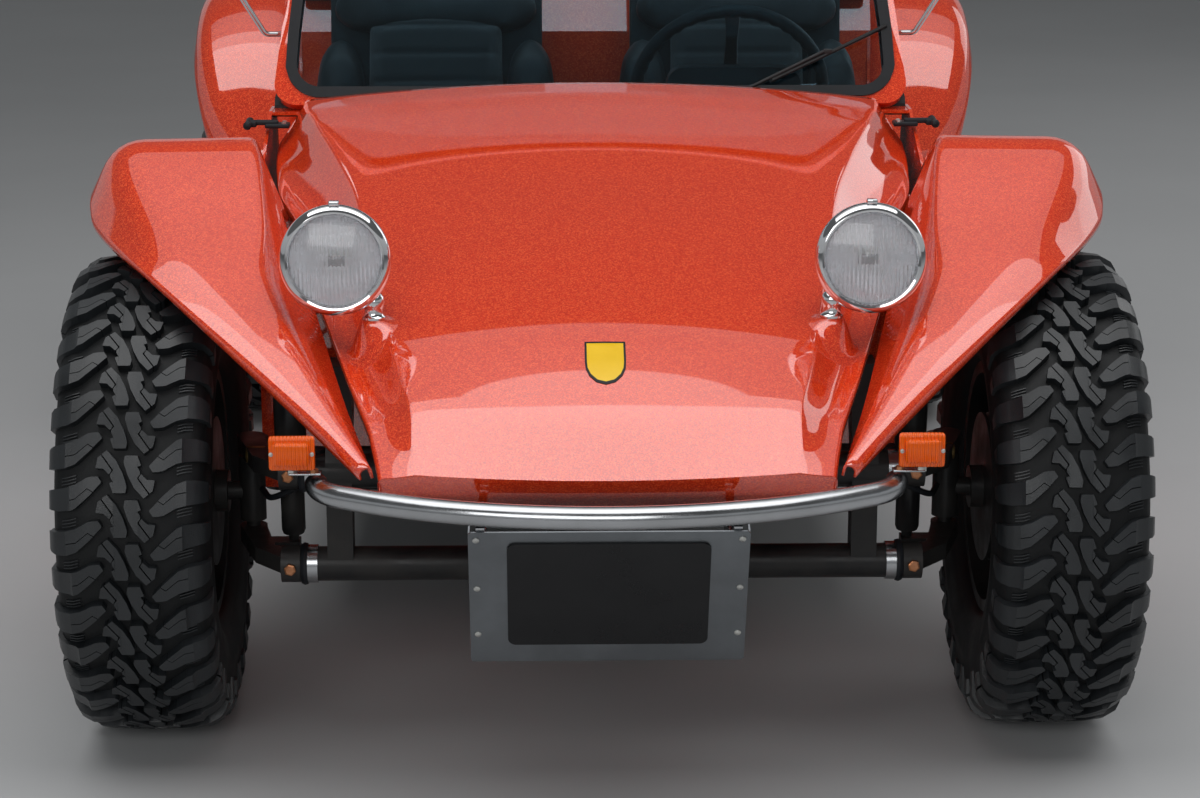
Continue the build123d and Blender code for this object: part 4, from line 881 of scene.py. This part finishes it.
def make_headlamps():
    ahead = Vector((0, -math.cos(LAMP_TILT), math.sin(LAMP_TILT)))
    up = Vector((0, math.sin(LAMP_TILT), math.cos(LAMP_TILT)))
    for name, side in SIDES:
        centre = spot(side * LAMP_AT[0], LAMP_AT[1], LAMP_AT[2])
        bowl = turned(f"lamp_bowl_{name}", LAMP_BOWL, centre, ahead, "hood", "chrome", "chrome", 96)
        turned(f"lamp_reflector_{name}", REFLECTOR, centre, ahead, "hood", "chrome", "reflector", 96)
        front, back = (lens_sheet(centre, ahead, up, form) for form in (lens_outside, lens_inside))
        points, faces = lens_mesh(front, back)
        glass = mesh_piece(f"lamp_glass_{name}", points, faces, "hood", "lens_glass", 50)
        close_ends(glass)
        turned(f"lamp_foot_{name}", LAMP_FOOT, spot(side * LAMP_FOOT_AT[0], LAMP_FOOT_AT[1], 718.3),
               (0, 0, 1), "hood", "chrome", "chrome", 40)
        turned(f"lamp_bulb_{name}", LAMP_BULB, centre, ahead, "hood", "satin_steel", "zinc_bolt", 32)
        block(f"lamp_shield_{name}", centre + ahead * -0.014 + up * -0.004, (26, 10, 16),
              "hood", "chrome", "brushed_sheet", 4)
        block(f"lamp_tab_{name}", centre + Vector((0, -0.004, 0.0865)), (16, 12, 7),
              "hood", "chrome", "chrome", 2)
        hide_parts("headlamp_bowls")
        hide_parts("headlamp_lenses")


# Hood latches: their distance, and rows of distance along the axis and radius
LATCH_DISTANCE = 690
LATCH_HANDLE = (
    (-31, 0.5), (-30, 5), (-27, 7.5), (-18, 7), (0, 6.5), (18, 7), (27, 7.5), (30, 5), (31, 0.5),
)
LATCH_BOLT = ((0, 0.4), (0, 4.6), (3, 4.6), (3.4, 2.6), (2, 2.4), (2, 0.4))


def make_latches():
    rubber = ("hood", "black_rubber", "black_rubber")
    for name, side in SIDES:
        base = block(f"latch_base_{name}", spot(side * 568, LATCH_DISTANCE, 866), (44, 30, 8), *rubber, 2.5)
        block(f"latch_strap_{name}", spot(side * 592, LATCH_DISTANCE, 871), (52, 13, 9), *rubber, 3)
        block(f"latch_neck_{name}", spot(side * 612, LATCH_DISTANCE, 869), (14, 22, 11), *rubber, 3)
        turned(f"latch_handle_{name}", LATCH_HANDLE, spot(side * 620, LATCH_DISTANCE, 869), (0, 1, 0),
               *rubber, 24)
        for letter, step in (("a", -9), ("b", 9)):
            turned(f"latch_bolt_{name}_{letter}", LATCH_BOLT, spot(side * 556, LATCH_DISTANCE + step, 869.5),
                   (0, 0, 1), "hood", "satin_steel", "zinc_bolt", 6, 20)
        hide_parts("hood_latches")


def make_wiper():
    """A sprung arm along a slim blade, both close over the glass."""
    tube("wiper_arm", [spot(240, 768, 896), spot(283, 775, 915), spot(436, 803, 985)], 3.4,
         "chassis", "black_plastic", "black_plastic", sides=10)
    spine = tube("wiper_spine", [spot(333, 782, 932), spot(440, 803, 979), spot(546, 824, 1027)], 3.6,
                 "chassis", "black_plastic", "black_plastic", sides=8)
    tube("wiper_rubber", [spot(330, 786, 928), spot(548, 829, 1025)], 2.6,
         "chassis", "black_plastic", "black_rubber", sides=8)
    turned("wiper_pivot", ((-14, 0.5), (-14, 8), (2, 8), (5, 6), (6, 0.5)), spot(240, 768, 894),
           (0, -0.9, 0.43), "chassis", "black_plastic", "black_plastic", 24)
    block("wiper_link", spot(437, 803, 982), (16, 9, 9), "chassis", "black_plastic", "black_plastic", 2)
    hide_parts("wiper")


# Front fittings: how the plate holder's face leans, its top edge, and rows of distance along the
# axis and radius
HOLDER_TILT = math.radians(25)
HOLDER_TOP = (-636, 503)
HOLDER_SCREW = ((0, 0.4), (0, 5), (1.2, 4.8), (2.4, 3), (2.7, 0.4))
INDICATOR_SCREW = ((0, 0.4), (0, 3.4), (1.5, 3), (2, 0.4))
INDICATOR_NUT = ((0, 0.4), (0, 7.5), (7, 7.5), (7, 0.4))
INDICATOR_BOLT = ((0, 0.4), (0, 6.5), (5, 6.5), (5, 0.4))
INDICATOR_X = 448


def on_holder(x, down):
    """A point on the plate holder's face, so far down from its top edge."""
    along = Vector((0, down * math.sin(HOLDER_TILT), -down * math.cos(HOLDER_TILT)))
    return spot(x, *HOLDER_TOP) + along / 1000


def make_front_fittings():
    face = Vector((0, -math.cos(HOLDER_TILT), -math.sin(HOLDER_TILT)))
    for letter, side in (("l", 1), ("r", -1)):
        for row, down in enumerate((14, 106, 195)):
            turned(f"holder_screw_{row}_{letter}", HOLDER_SCREW, on_holder(side * 186, down), face,
                   "chassis", "chrome", "zinc_bolt", 20)
    amber = ("chassis", "amber_lens", "amber_lens")
    for name, side in SIDES:
        x = side * INDICATOR_X
        lens = block(f"indicator_base_{name}", spot(x, -523, 588), (66, 14, 50), *amber, 5)
        block(f"indicator_face_{name}", spot(x, -534, 589), (50, 14, 33), *amber, 4)
        for rib in range(9):
            block(f"indicator_rib_{name}_{rib}", spot(x - 20 + rib * 5, -541, 578), (1.8, 3, 9), *amber, 0.5)
        for letter, step in (("a", -29), ("b", 29)):
            turned(f"indicator_screw_{name}_{letter}", INDICATOR_SCREW, spot(x + step, -530, 588), (0, -1, 0),
                   "chassis", "chrome", "zinc_bolt", 16)
        block(f"indicator_back_{name}", spot(x, -513, 588), (58, 8, 42),
              "chassis", "black_plastic", "black_plastic", 3)
        block(f"indicator_tab_{name}", spot(side * 430, -518, 557.5), (46, 20, 3),
              "chassis", "satin_steel", "satin_steel", 1)
        turned(f"indicator_nut_{name}", INDICATOR_NUT, spot(x, -520, 556), (0, 0, 1),
               "chassis", "satin_steel", "zinc_bolt", 6, 20)
        turned(f"indicator_bolt_{name}", INDICATOR_BOLT, spot(side * 417, -522, 559), (0, 0, 1),
               "chassis", "satin_steel", "copper_bolt", 6, 20)
        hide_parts("indicators")


# Axle details: rows of distance along the axis and radius
FRONT_SHOCK = (
    (0, 0.5), (0, 8), (10, 9), (12, 17), (18, 19), (134, 19), (137, 10), (141, 10), (141, 23.5),
    (145, 25), (254, 25), (261, 19), (263, 8), (267, 8), (267, 0.5),
)
REAR_SHOCK = (
    (0, 0.5), (0, 9), (12, 9), (14, 17), (20, 19), (180, 19), (184, 11), (190, 11), (190, 23.5),
    (195, 25), (362, 25), (372, 18), (376, 9), (386, 9), (386, 0.5),
)
BEAM_RING = ((-12, 27.2), (-12, 30), (4, 30), (4, 27.2))
BEAM_SEAL = ((4, 27.2), (4, 32), (9, 33.5), (14, 31), (14, 27.2))
ARM_BOLT = ((0, 0.4), (0, 9.5), (7, 9.5), (8, 7), (8, 0.4))
BUMP_STOP = ((0, 0.4), (0, 14), (8, 18), (22, 15), (34, 8), (36, 0.4))
LINK_BUSH = ((-16, 0.4), (-16, 12), (-13, 14), (13, 14), (16, 12), (16, 0.4))
# Where the brake hoses run on the left: X, distance and height
HOSE_ROUTE = ((430, -120, 420), (470, -140, 430), (520, -120, 400), (540, -40, 395))


def make_axle_details():
    shock = ("chassis", "chassis_black", "chassis_paint")
    steel = ("chassis", "satin_steel")
    rubber = ("chassis", "black_rubber", "black_rubber")
    for name, side in SIDES:
        foot, head = spot(side * 488, -84, 324.9), spot(side * 488, -108, 590)
        front = turned(f"shock_front_{name}", FRONT_SHOCK, foot, head - foot, *shock, 48)
        foot, head = spot(side * 505, 2034, 415.9), spot(side * 505, 1985, 800)
        turned(f"shock_rear_{name}", REAR_SHOCK, foot, head - foot, *shock, 48)
        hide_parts("shock_absorbers")
        for level, z in (("low", 311), ("high", 461)):
            middle = spot(side * 455, -170, z)
            turned(f"beam_ring_{level}_{name}", BEAM_RING, middle, (side, 0, 0), *steel, "satin_steel", 48)
            turned(f"beam_seal_{level}_{name}", BEAM_SEAL, middle, (side, 0, 0), *rubber, 48)
            turned(f"arm_bolt_{level}_{name}", ARM_BOLT, spot(side * 485, -198, z), (0, -1, 0),
                   *steel, "copper_bolt", 6, 20)
        turned(f"bump_stop_{name}", BUMP_STOP, spot(side * 445, -150, 492), (0, 0, -1), *rubber, 32)
        turned(f"link_bush_{name}", LINK_BUSH, spot(side * 545, -74, 461), (1, 0, 0), *steel,
               "brass_fitting", 32)
        tube(f"brake_hose_{name}", [spot(side * x, distance, z) for x, distance, z in HOSE_ROUTE], 5,
             *rubber, 40, 12)


# Steering wheel: its centre, the column's slope, the radius of the grip's middle line and of the
# grip, how deep and how many its finger waves are, the hub's distances along the axis and radii,
# and the spokes' reaches and half widths
WHEEL_AT = (268, 985, 884)
WHEEL_TILT = math.radians(25)
WHEEL_RADIUS = 177
GRIP_RADIUS = 12.8
WAVE_DEPTH = 2.6
WAVES = 40
WHEEL_HUB = ((-19, 0.5), (-19, 22), (-14, 36), (-8, 38), (4, 38), (8, 34), (10, 30), (11, 0.5))
SPOKE_ROWS = ((30, 17), (60, 13), (110, 11), (168, 14))


def make_steering_wheel():
    down = Vector((0, -math.cos(WHEEL_TILT), -math.sin(WHEEL_TILT)))
    centre = spot(*WHEEL_AT)
    up = Vector((0, -down.z, down.y))
    across = Vector((1, 0, 0))
    lines = []
    for step in range(240):
        angle = 2 * math.pi * step / 240
        way = across * math.cos(angle) + up * math.sin(angle)
        wave = 0.5 - 0.5 * math.cos(WAVES * angle)
        line = []
        for k in range(18):
            turn = 2 * math.pi * k / 18
            inward = 0.5 - 0.5 * math.cos(turn)
            radius = GRIP_RADIUS - WAVE_DEPTH * wave * inward
            ring = way * (WHEEL_RADIUS + radius * math.cos(turn)) + down * radius * math.sin(turn)
            line.append(centre + ring / 1000)
        lines.append(line)
    rim = grid_piece("wheel_grip", lines, "steering_wheel", "leathercloth",
                     wrap_rows=True, wrap_columns=True)
    close_ends(rim)
    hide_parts("steering_wheel")
    turned("wheel_hub", WHEEL_HUB, centre, -down, "steering_wheel", "black_plastic", "black_plastic", 48)
    for number, angle in enumerate((0, 180, 270)):
        way = across * math.cos(math.radians(angle)) + up * math.sin(math.radians(angle))
        side = down.cross(way).normalized()
        lines = []
        for out, half in SPOKE_ROWS:
            lines.append([
                centre + (way * out + side * half * s + down * t) / 1000
                for s, t in ((1, -2), (1, 2), (-1, 2), (-1, -2))])
        spoke = grid_piece(f"wheel_spoke_{number}", lines, "steering_wheel", "satin_steel",
                           wrap_columns=True)
        close_ends(spoke)
        soften_edges(spoke, 1)


# Dials: their middles, the dashboard's face, and rows of distance along the axis and radius
DIAL_X = (206, 330)
DIAL_FACE_AT = (900.2, 912)
DIAL_RING = ((0, 26), (0, 30), (3, 30), (4, 28.5), (3, 26))
DIAL_FACE = ((0, 0.4), (0, 26.5), (1, 26.5), (1, 0.4))


def make_dials():
    for number, x in enumerate(DIAL_X):
        centre = spot(x, *DIAL_FACE_AT)
        turned(f"dial_ring_{number}", DIAL_RING, centre, (0, 1, 0), "chassis", "chrome", "chrome", 48)
        turned(f"dial_face_{number}", DIAL_FACE, centre, (0, 1, 0), "chassis", "plate_black",
               "plate_enamel", 48)
        for tick in range(13):
            angle = math.radians(-120 + tick * 20)
            way = Vector((-math.sin(angle), 0, math.cos(angle)))
            block(f"dial_tick_{number}_{tick}", centre + way * 0.022 + Vector((0, 0.0013, 0)),
                  (1.2, 0.4, 4.5), "chassis", "chrome", "dial_white", 0.1, (0, math.degrees(-angle), 0))
        block(f"dial_needle_{number}", centre + Vector((0.006, 0.002, 0.006)), (1.4, 0.5, 24),
              "chassis", "amber_lens", "dial_white", 0.1, (0, 45, 0))


# Seats: each pad's name, centre X from the seat's middle, distance, height, half sizes, tilt in
# degrees, rounding, material and the pitch of its sewn channels, or 0 where it has none
Pad = namedtuple("Pad", "name x distance z half tilt rounding material pitch")
PADS = tuple(Pad(*row) for row in (
    ("cushion", 0, 950, 372, (148, 205, 38), -6, 0.35, "seat_cloth", 56),
    ("cushion_side_a", 190, 945, 392, (50, 205, 46), -5, 0.5, "leathercloth", 0),
    ("cushion_side_b", -190, 945, 392, (50, 205, 46), -5, 0.5, "leathercloth", 0),
    ("cushion_nose", 0, 752, 382, (222, 38, 34), 0, 0.5, "leathercloth", 0),
    ("back", 0, 1262, 720, (148, 42, 300), -14, 0.35, "seat_cloth", 56),
    ("back_side_a", 190, 1236, 690, (48, 62, 262), -15, 0.55, "leathercloth", 0),
    ("back_side_b", -190, 1236, 690, (48, 62, 262), -15, 0.55, "leathercloth", 0),
    ("shoulder", 0, 1334, 1000, (205, 40, 52), -12, 0.6, "leathercloth", 0),
    ("head", 0, 1358, 1094, (136, 42, 76), -6, 0.6, "leathercloth", 0),
))
SEAT_X = 303
# The shell's outline from the side as distance and height, its lines across as X and how far each
# is drawn in, and the channels' depth in metres and half width in millimetres
SHELL_OUTLINE = (
    (762, 322), (1180, 300), (1262, 332), (1322, 560), (1404, 1010), (1408, 1150), (1396, 1160),
    (1380, 1150), (1372, 1010), (1296, 600), (1236, 400), (1170, 350), (770, 352),
)
SHELL_LINES = ((-214, 6), (-200, 0), (200, 0), (214, 6))
CHANNEL_DEPTH = 0.006
CHANNEL_HALF = 5
# The swelling: voxels of pads with and without channels in mm, pressure, and frames
CHANNELLED_VOXEL = 6
PLAIN_VOXEL = 9
PAD_PRESSURE = 4
PAD_FRAMES = 20


def pad_form(half, rounding, cuts):
    """A closed rounded box in metres round the origin."""
    form = bmesh.new()
    bmesh.ops.create_cube(form, size=2)
    bmesh.ops.subdivide_edges(form, edges=form.edges[:], cuts=cuts, use_grid_fill=True)
    for vert in form.verts:
        x, y, z = vert.co
        ball = Vector((
            x * math.sqrt(1 - y * y / 2 - z * z / 2 + y * y * z * z / 3),
            y * math.sqrt(1 - z * z / 2 - x * x / 2 + z * z * x * x / 3),
            z * math.sqrt(1 - x * x / 2 - y * y / 2 + x * x * y * y / 3)))
        shaped = vert.co.lerp(ball, rounding)
        vert.co = Vector(s * h / 1000 for s, h in zip(shaped, half))
    return form


def puffed(pieces, voxels, cap):
    """Swells closed pads with a cloth simulation, and keeps each point within the cap."""
    before = []
    for piece, voxel in zip(pieces, voxels):
        remesh = piece.modifiers.new("remesh", "REMESH")
        remesh.mode = "VOXEL"
        remesh.voxel_size = voxel / 1000
        settled = bpy.data.meshes.new_from_object(piece.evaluated_get(bpy.context.evaluated_depsgraph_get()))
        piece.modifiers.clear()
        settled.materials.clear()
        settled.materials.append(piece.data.materials[0])
        piece.data = settled
        before.append([vert.co.copy() for vert in settled.vertices])
        cloth = piece.modifiers.new("cloth", "CLOTH")
        cloth.settings.use_pressure = True
        cloth.settings.uniform_pressure_force = PAD_PRESSURE
        cloth.settings.effector_weights.gravity = 0
        cloth.point_cache.frame_start = 1
        cloth.point_cache.frame_end = PAD_FRAMES
    for step in range(1, PAD_FRAMES + 1):
        bpy.context.scene.frame_set(step)
    graph = bpy.context.evaluated_depsgraph_get()
    shapes = [[vert.co.copy() for vert in piece.evaluated_get(graph).data.vertices] for piece in pieces]
    for piece, old, new in zip(pieces, before, shapes):
        piece.modifiers.clear()
        for vert, start, end in zip(piece.data.vertices, old, new):
            move = end - start
            if move.length > cap / 1000:
                move *= cap / 1000 / move.length
            vert.co = start + move
        piece.data.update()
        piece.data.shade_smooth()
    bpy.context.scene.frame_set(1)


def channelled(piece, pitch, length_axis, face_axis):
    """Presses sewn channels across the face of a pad that lies round the origin."""
    for vert in piece.data.vertices:
        if vert.normal[face_axis] > 0.2:
            along = vert.co[length_axis] * 1000 / pitch
            off = (along - math.floor(along) - 0.5) * pitch
            vert.co[face_axis] -= CHANNEL_DEPTH * math.exp(-(off / CHANNEL_HALF) ** 2)
    piece.data.update()


def turn_front_to_back(pad):
    """Mirrors a pad from front to back, or back again."""
    for vert in pad.data.vertices:
        vert.co.y = -vert.co.y
    pad.data.flip_normals()


def make_seats(look):
    pieces = []
    for pad in PADS:
        form = pad_form(pad.half, pad.rounding, 7)
        mesh = bpy.data.meshes.new(f"pad_{pad.name}")
        form.to_mesh(mesh)
        form.free()
        pieces.append(linked(f"seat_left_{pad.name}", mesh))
        mesh.materials.append(bpy.data.materials[f"look_{pad.material}"])
        mesh.shade_smooth()
    puffed(pieces, [CHANNELLED_VOXEL if pad.pitch else PLAIN_VOXEL for pad in PADS], look.pad_cap)
    for left, pad in zip(pieces, PADS):
        if pad.pitch and pad.half[2] > pad.half[1]:
            turn_front_to_back(left)
            channelled(left, pad.pitch, 2, 1)
            turn_front_to_back(left)
        elif pad.pitch:
            channelled(left, pad.pitch, 1, 2)
        for side_name, side in SIDES:
            piece = left if side > 0 else linked(f"seat_right_{pad.name}", left.data)
            smooth = piece.modifiers.new("smooth", "SUBSURF")
            smooth.levels = smooth.render_levels = 1
            place = Matrix.Translation(spot(side * SEAT_X + pad.x, pad.distance, pad.z))
            piece.matrix_world = place @ Matrix.Rotation(math.radians(pad.tilt), 4, "X")
            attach(piece, "chassis")
            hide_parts(f"seat_{side_name}")
    for side_name, side in SIDES:
        lines = []
        for x, inset in SHELL_LINES:
            line = [spot(side * SEAT_X + x, distance, z) for distance, z in SHELL_OUTLINE]
            middle = sum(line, Vector()) / len(line)
            for k, point in enumerate(line):
                line[k] = point + (middle - point).normalized() * inset / 1000
            lines.append(line)
        shell = grid_piece(f"seat_shell_{side_name}", lines, "chassis", "leathercloth",
                           wrap_columns=True)
        close_ends(shell)
        soften_edges(shell, 6)
        for number, x in enumerate((-150, 150)):
            block(f"seat_runner_{side_name}_{number}", spot(side * SEAT_X + x, 975, 271), (28, 380, 40),
                  "chassis", "chassis_black", "chassis_paint", 3)


# Stage: the floor's half side and the camera's place in metres, and how many degrees it looks down
# and to the right
FLOOR_REACH = 60
EYE = (-0.092, -5.399, 1.666)
EYE_DOWN = 14.47
EYE_RIGHT = 1.2
# The soft light all round: height from straight down (0) to straight up (1) and brightness, with a
# slightly cool tint
SKY_TINT = (0.95, 0.98, 1.0)
SKY_STOPS = ((0.0, 0.3), (0.49, 0.34), (0.52, 0.36), (0.62, 0.4), (0.655, 0.42), (0.672, 0.1), (0.92, 0.1),
             (1.0, 0.3))

# Soft lights: name, place, aim, size and share of the key light's power
LIGHTS = (
    ("top", (0.0, -2.2, 4.5), (0, -2.2, 0), (6.4, 3.0), 1.0),
    ("top_middle", (0.0, -0.2, 4.5), (0, -0.2, 0), (6.4, 1.0), 0.2),
    ("top_back", (0.0, 1.2, 4.5), (0, 1.2, 0), (6.4, 1.8), 0.12),
    ("front", (-1.0, -6.5, 2.7), (0, -1.2, 0.6), (4.5, 2.0), 0.62),
    ("rear", (5.2, 3.8, 3.2), (0, 0.8, 0.6), (4.0, 3.0), 0.35),
)


def make_stage(look):
    scene = bpy.context.scene
    floor = bpy.data.meshes.new("floor")
    corners = [(x * FLOOR_REACH, y * FLOOR_REACH, 0) for x, y in ((-1, -1), (1, -1), (1, 1), (-1, 1))]
    floor.from_pydata(corners, [], [(0, 1, 2, 3)])
    floor_piece = linked("floor", floor)
    floor.materials.append(bpy.data.materials["look_floor_plain"])

    camera = bpy.data.cameras.new("camera")
    camera.lens = 85
    camera.sensor_width = 36
    eye = linked("camera", camera)
    eye.location = EYE
    eye.rotation_euler = (math.radians(90 - EYE_DOWN), 0, math.radians(-EYE_RIGHT))
    scene.camera = eye

    world = bpy.data.worlds.new("studio")
    scene.world = world
    world.use_nodes = True
    tree = world.node_tree
    place = shader_node(tree, "ShaderNodeTexCoord")
    parts = shader_node(tree, "ShaderNodeSeparateXYZ", {"Vector": place.outputs["Generated"]})
    climb = shader_node(tree, "ShaderNodeMapRange", {"Value": parts.outputs["Z"], "From Min": -1.0})
    ramp = shader_node(tree, "ShaderNodeValToRGB", {"Fac": climb.outputs["Result"]})
    stops = ramp.color_ramp.elements
    for position, value in SKY_STOPS[1:-1]:
        stops.new(position).color = (*(value * tint for tint in SKY_TINT), 1)
    for stop, (position, value) in ((stops[0], SKY_STOPS[0]), (stops[-1], SKY_STOPS[-1])):
        stop.position = position
        stop.color = (*(value * tint for tint in SKY_TINT), 1)
    tree.links.new(ramp.outputs["Color"], tree.nodes["Background"].inputs["Color"])
    tree.nodes["Background"].inputs["Strength"].default_value = look.sky
    for name, stand, aim, size, share in LIGHTS:
        lamp = bpy.data.lights.new(name, "AREA")
        lamp.shape = "RECTANGLE"
        lamp.size, lamp.size_y = size
        lamp.energy = look.key * share
        source = linked(name, lamp)
        source.location = stand
        source.rotation_euler = (Vector(aim) - Vector(stand)).to_track_quat("-Z", "Y").to_euler()
    scene.view_settings.view_transform = "Standard"


# CAD nodes that are kept as they are: node, material and bevel
DRESSED = (
    ("body_tub", "body_paint", 4), ("windscreen_frame", "body_paint", 4),
    ("windscreen_rubber", "black_rubber", 4), ("windscreen_glass", "screen_glass", 0),
    ("mirrors", "chrome", 0), ("dashboard", "black_plastic", 3), ("levers", "black_plastic", 0),
    ("roll_bar", "chassis_paint", 0), ("floor_pan", "chassis_paint", 1), ("front_beam", "chassis_paint", 0),
    ("front_arms", "chassis_paint", 1.5), ("knuckle_left", "chassis_paint", 1),
    ("knuckle_right", "chassis_paint", 1), ("track_rod", "chassis_paint", 0),
    ("steering_gear", "chassis_paint", 1), ("bumper_front", "satin_steel", 0),
    ("bumper_rear", "satin_steel", 0), ("plate_holder", "brushed_sheet", 0),
    ("bare_plates", "plate_enamel", 1), ("hood_hinges", "chassis_paint", 0),
    ("rear_axle", "chassis_paint", 1), ("engine_block", "cast_alloy", 0), ("fan_shroud", "black_tin", 3),
    ("exhaust", "chassis_paint", 0), ("tail_lamps", "red_lens", 1), ("rim_front_left", "rim_paint", 0),
    ("rim_front_right", "rim_paint", 0), ("rim_rear_left", "rim_paint", 0),
    ("rim_rear_right", "rim_paint", 0),
)


# Add-on

class BuggyLook(bpy.types.PropertyGroup):
    """The sizes, colours and light that a user would change"""
    paint_dark: bpy.props.FloatVectorProperty(
        name="Paint, dark flakes", description="Body paint where its flakes are darkest",
        default=(0.6, 0.028, 0.007), min=0, max=1, subtype="COLOR")
    paint_middle: bpy.props.FloatVectorProperty(
        name="Paint", description="Body paint between its dark and light flakes",
        default=(0.8, 0.05, 0.012), min=0, max=1, subtype="COLOR")
    paint_light: bpy.props.FloatVectorProperty(
        name="Paint, light flakes", description="Body paint where its flakes are lightest",
        default=(1.0, 0.13, 0.034), min=0, max=1, subtype="COLOR")
    indicator_colour: bpy.props.FloatVectorProperty(
        name="Indicators", description="Colour of the indicators' lenses",
        default=(1.0, 0.13, 0.0005), min=0, max=1, subtype="COLOR")
    flake_scale: bpy.props.FloatProperty(
        name="Flake scale", description="Paint flakes to a metre", default=640, min=50)
    flake_tilt: bpy.props.FloatProperty(
        name="Flake tilt", description="How far the flakes lean from the surface",
        default=0.35, min=0, max=1, subtype="FACTOR")
    pad_cap: bpy.props.FloatProperty(
        name="Pad swell", description="How far a seat pad may swell, in mm", default=10, min=0)
    sky: bpy.props.FloatProperty(
        name="Sky", description="Strength of the soft light all round", default=1.0, min=0)
    key: bpy.props.FloatProperty(
        name="Key light", description="Power of the large soft light", default=132, min=0, unit="POWER")


class BUGGY_OT_materials(bpy.types.Operator):
    """Make the paint, rubber, metal, glass and cloth materials"""
    bl_idname = "buggy.materials"
    bl_label = "Materials"

    def execute(self, context):
        make_materials(context.scene.buggy_look)
        return {"FINISHED"}


class BUGGY_OT_dress(bpy.types.Operator):
    """Give the carried-over CAD pieces their materials and soft edges"""
    bl_idname = "buggy.dress"
    bl_label = "Dress CAD pieces"

    def execute(self, context):
        for node, material, bevel in DRESSED:
            dress(node, material, bevel)
        return {"FINISHED"}


class BUGGY_OT_hood(bpy.types.Operator):
    """Build the hood's smooth skin, the pods under the lamps and the bare badge"""
    bl_idname = "buggy.hood"
    bl_label = "Hood"

    def execute(self, context):
        make_hood()
        return {"FINISHED"}


class BUGGY_OT_fenders(bpy.types.Operator):
    """Build the smooth front and rear fenders"""
    bl_idname = "buggy.fenders"
    bl_label = "Fenders"

    def execute(self, context):
        make_front_fenders()
        make_rear_fenders()
        return {"FINISHED"}


class BUGGY_OT_tyres(bpy.types.Operator):
    """Build the mud tread and the tyres' side walls"""
    bl_idname = "buggy.tyres"
    bl_label = "Tyres"

    def execute(self, context):
        make_tyres()
        return {"FINISHED"}


class BUGGY_OT_headlamps(bpy.types.Operator):
    """Build the headlamps' bowls, reflectors and glasses"""
    bl_idname = "buggy.headlamps"
    bl_label = "Headlamps"

    def execute(self, context):
        make_headlamps()
        return {"FINISHED"}


class BUGGY_OT_latches(bpy.types.Operator):
    """Build the rubber latches at the hood's rear corners"""
    bl_idname = "buggy.latches"
    bl_label = "Latches"

    def execute(self, context):
        make_latches()
        return {"FINISHED"}


class BUGGY_OT_wiper(bpy.types.Operator):
    """Build the wiper's arm and blade"""
    bl_idname = "buggy.wiper"
    bl_label = "Wiper"

    def execute(self, context):
        make_wiper()
        return {"FINISHED"}


class BUGGY_OT_front_fittings(bpy.types.Operator):
    """Build the indicators and the plate holder's screws"""
    bl_idname = "buggy.front_fittings"
    bl_label = "Front fittings"

    def execute(self, context):
        make_front_fittings()
        return {"FINISHED"}


class BUGGY_OT_axle(bpy.types.Operator):
    """Build the shock absorbers, beam rings and seals, bolts, bump stops and brake hoses"""
    bl_idname = "buggy.axle"
    bl_label = "Axle details"

    def execute(self, context):
        make_axle_details()
        return {"FINISHED"}


class BUGGY_OT_steering(bpy.types.Operator):
    """Build the steering wheel's grip with its finger waves, its hub and spokes"""
    bl_idname = "buggy.steering"
    bl_label = "Steering wheel"

    def execute(self, context):
        make_steering_wheel()
        return {"FINISHED"}


class BUGGY_OT_dials(bpy.types.Operator):
    """Build the two dials with their rings, ticks and needles"""
    bl_idname = "buggy.dials"
    bl_label = "Dials"

    def execute(self, context):
        make_dials()
        return {"FINISHED"}


class BUGGY_OT_seats(bpy.types.Operator):
    """Build the seats' pads, swollen by a cloth simulation, their shells and runners"""
    bl_idname = "buggy.seats"
    bl_label = "Seats"

    def execute(self, context):
        make_seats(context.scene.buggy_look)
        return {"FINISHED"}


class BUGGY_OT_stage(bpy.types.Operator):
    """Make the floor, the soft lights and the camera"""
    bl_idname = "buggy.stage"
    bl_label = "Stage"

    def execute(self, context):
        make_stage(context.scene.buggy_look)
        return {"FINISHED"}


class BUGGY_PT_panel(bpy.types.Panel):
    bl_label = "Buggy"
    bl_space_type = "VIEW_3D"
    bl_region_type = "UI"
    bl_category = "Buggy"

    def draw(self, context):
        look = context.scene.buggy_look
        for name in BuggyLook.__annotations__:
            self.layout.prop(look, name)
        for operator in OPERATORS:
            self.layout.operator(operator.bl_idname)


OPERATORS = (
    BUGGY_OT_materials, BUGGY_OT_dress, BUGGY_OT_hood, BUGGY_OT_fenders, BUGGY_OT_tyres,
    BUGGY_OT_headlamps, BUGGY_OT_latches, BUGGY_OT_wiper, BUGGY_OT_front_fittings, BUGGY_OT_axle,
    BUGGY_OT_steering, BUGGY_OT_dials, BUGGY_OT_seats, BUGGY_OT_stage,
)
CLASSES = (BuggyLook, *OPERATORS, BUGGY_PT_panel)


def register():
    for item in CLASSES:
        bpy.utils.register_class(item)
    bpy.types.Scene.buggy_look = bpy.props.PointerProperty(type=BuggyLook)


def unregister():
    del bpy.types.Scene.buggy_look
    for item in reversed(CLASSES):
        bpy.utils.unregister_class(item)


def main():
    register()
    bpy.ops.buggy.materials()
    bpy.ops.buggy.dress()
    bpy.ops.buggy.hood()
    bpy.ops.buggy.fenders()
    bpy.ops.buggy.tyres()
    bpy.ops.buggy.headlamps()
    bpy.ops.buggy.latches()
    bpy.ops.buggy.wiper()
    bpy.ops.buggy.front_fittings()
    bpy.ops.buggy.axle()
    bpy.ops.buggy.steering()
    bpy.ops.buggy.dials()
    bpy.ops.buggy.seats()
    bpy.ops.buggy.stage()


if __name__ == "__main__":
    main()
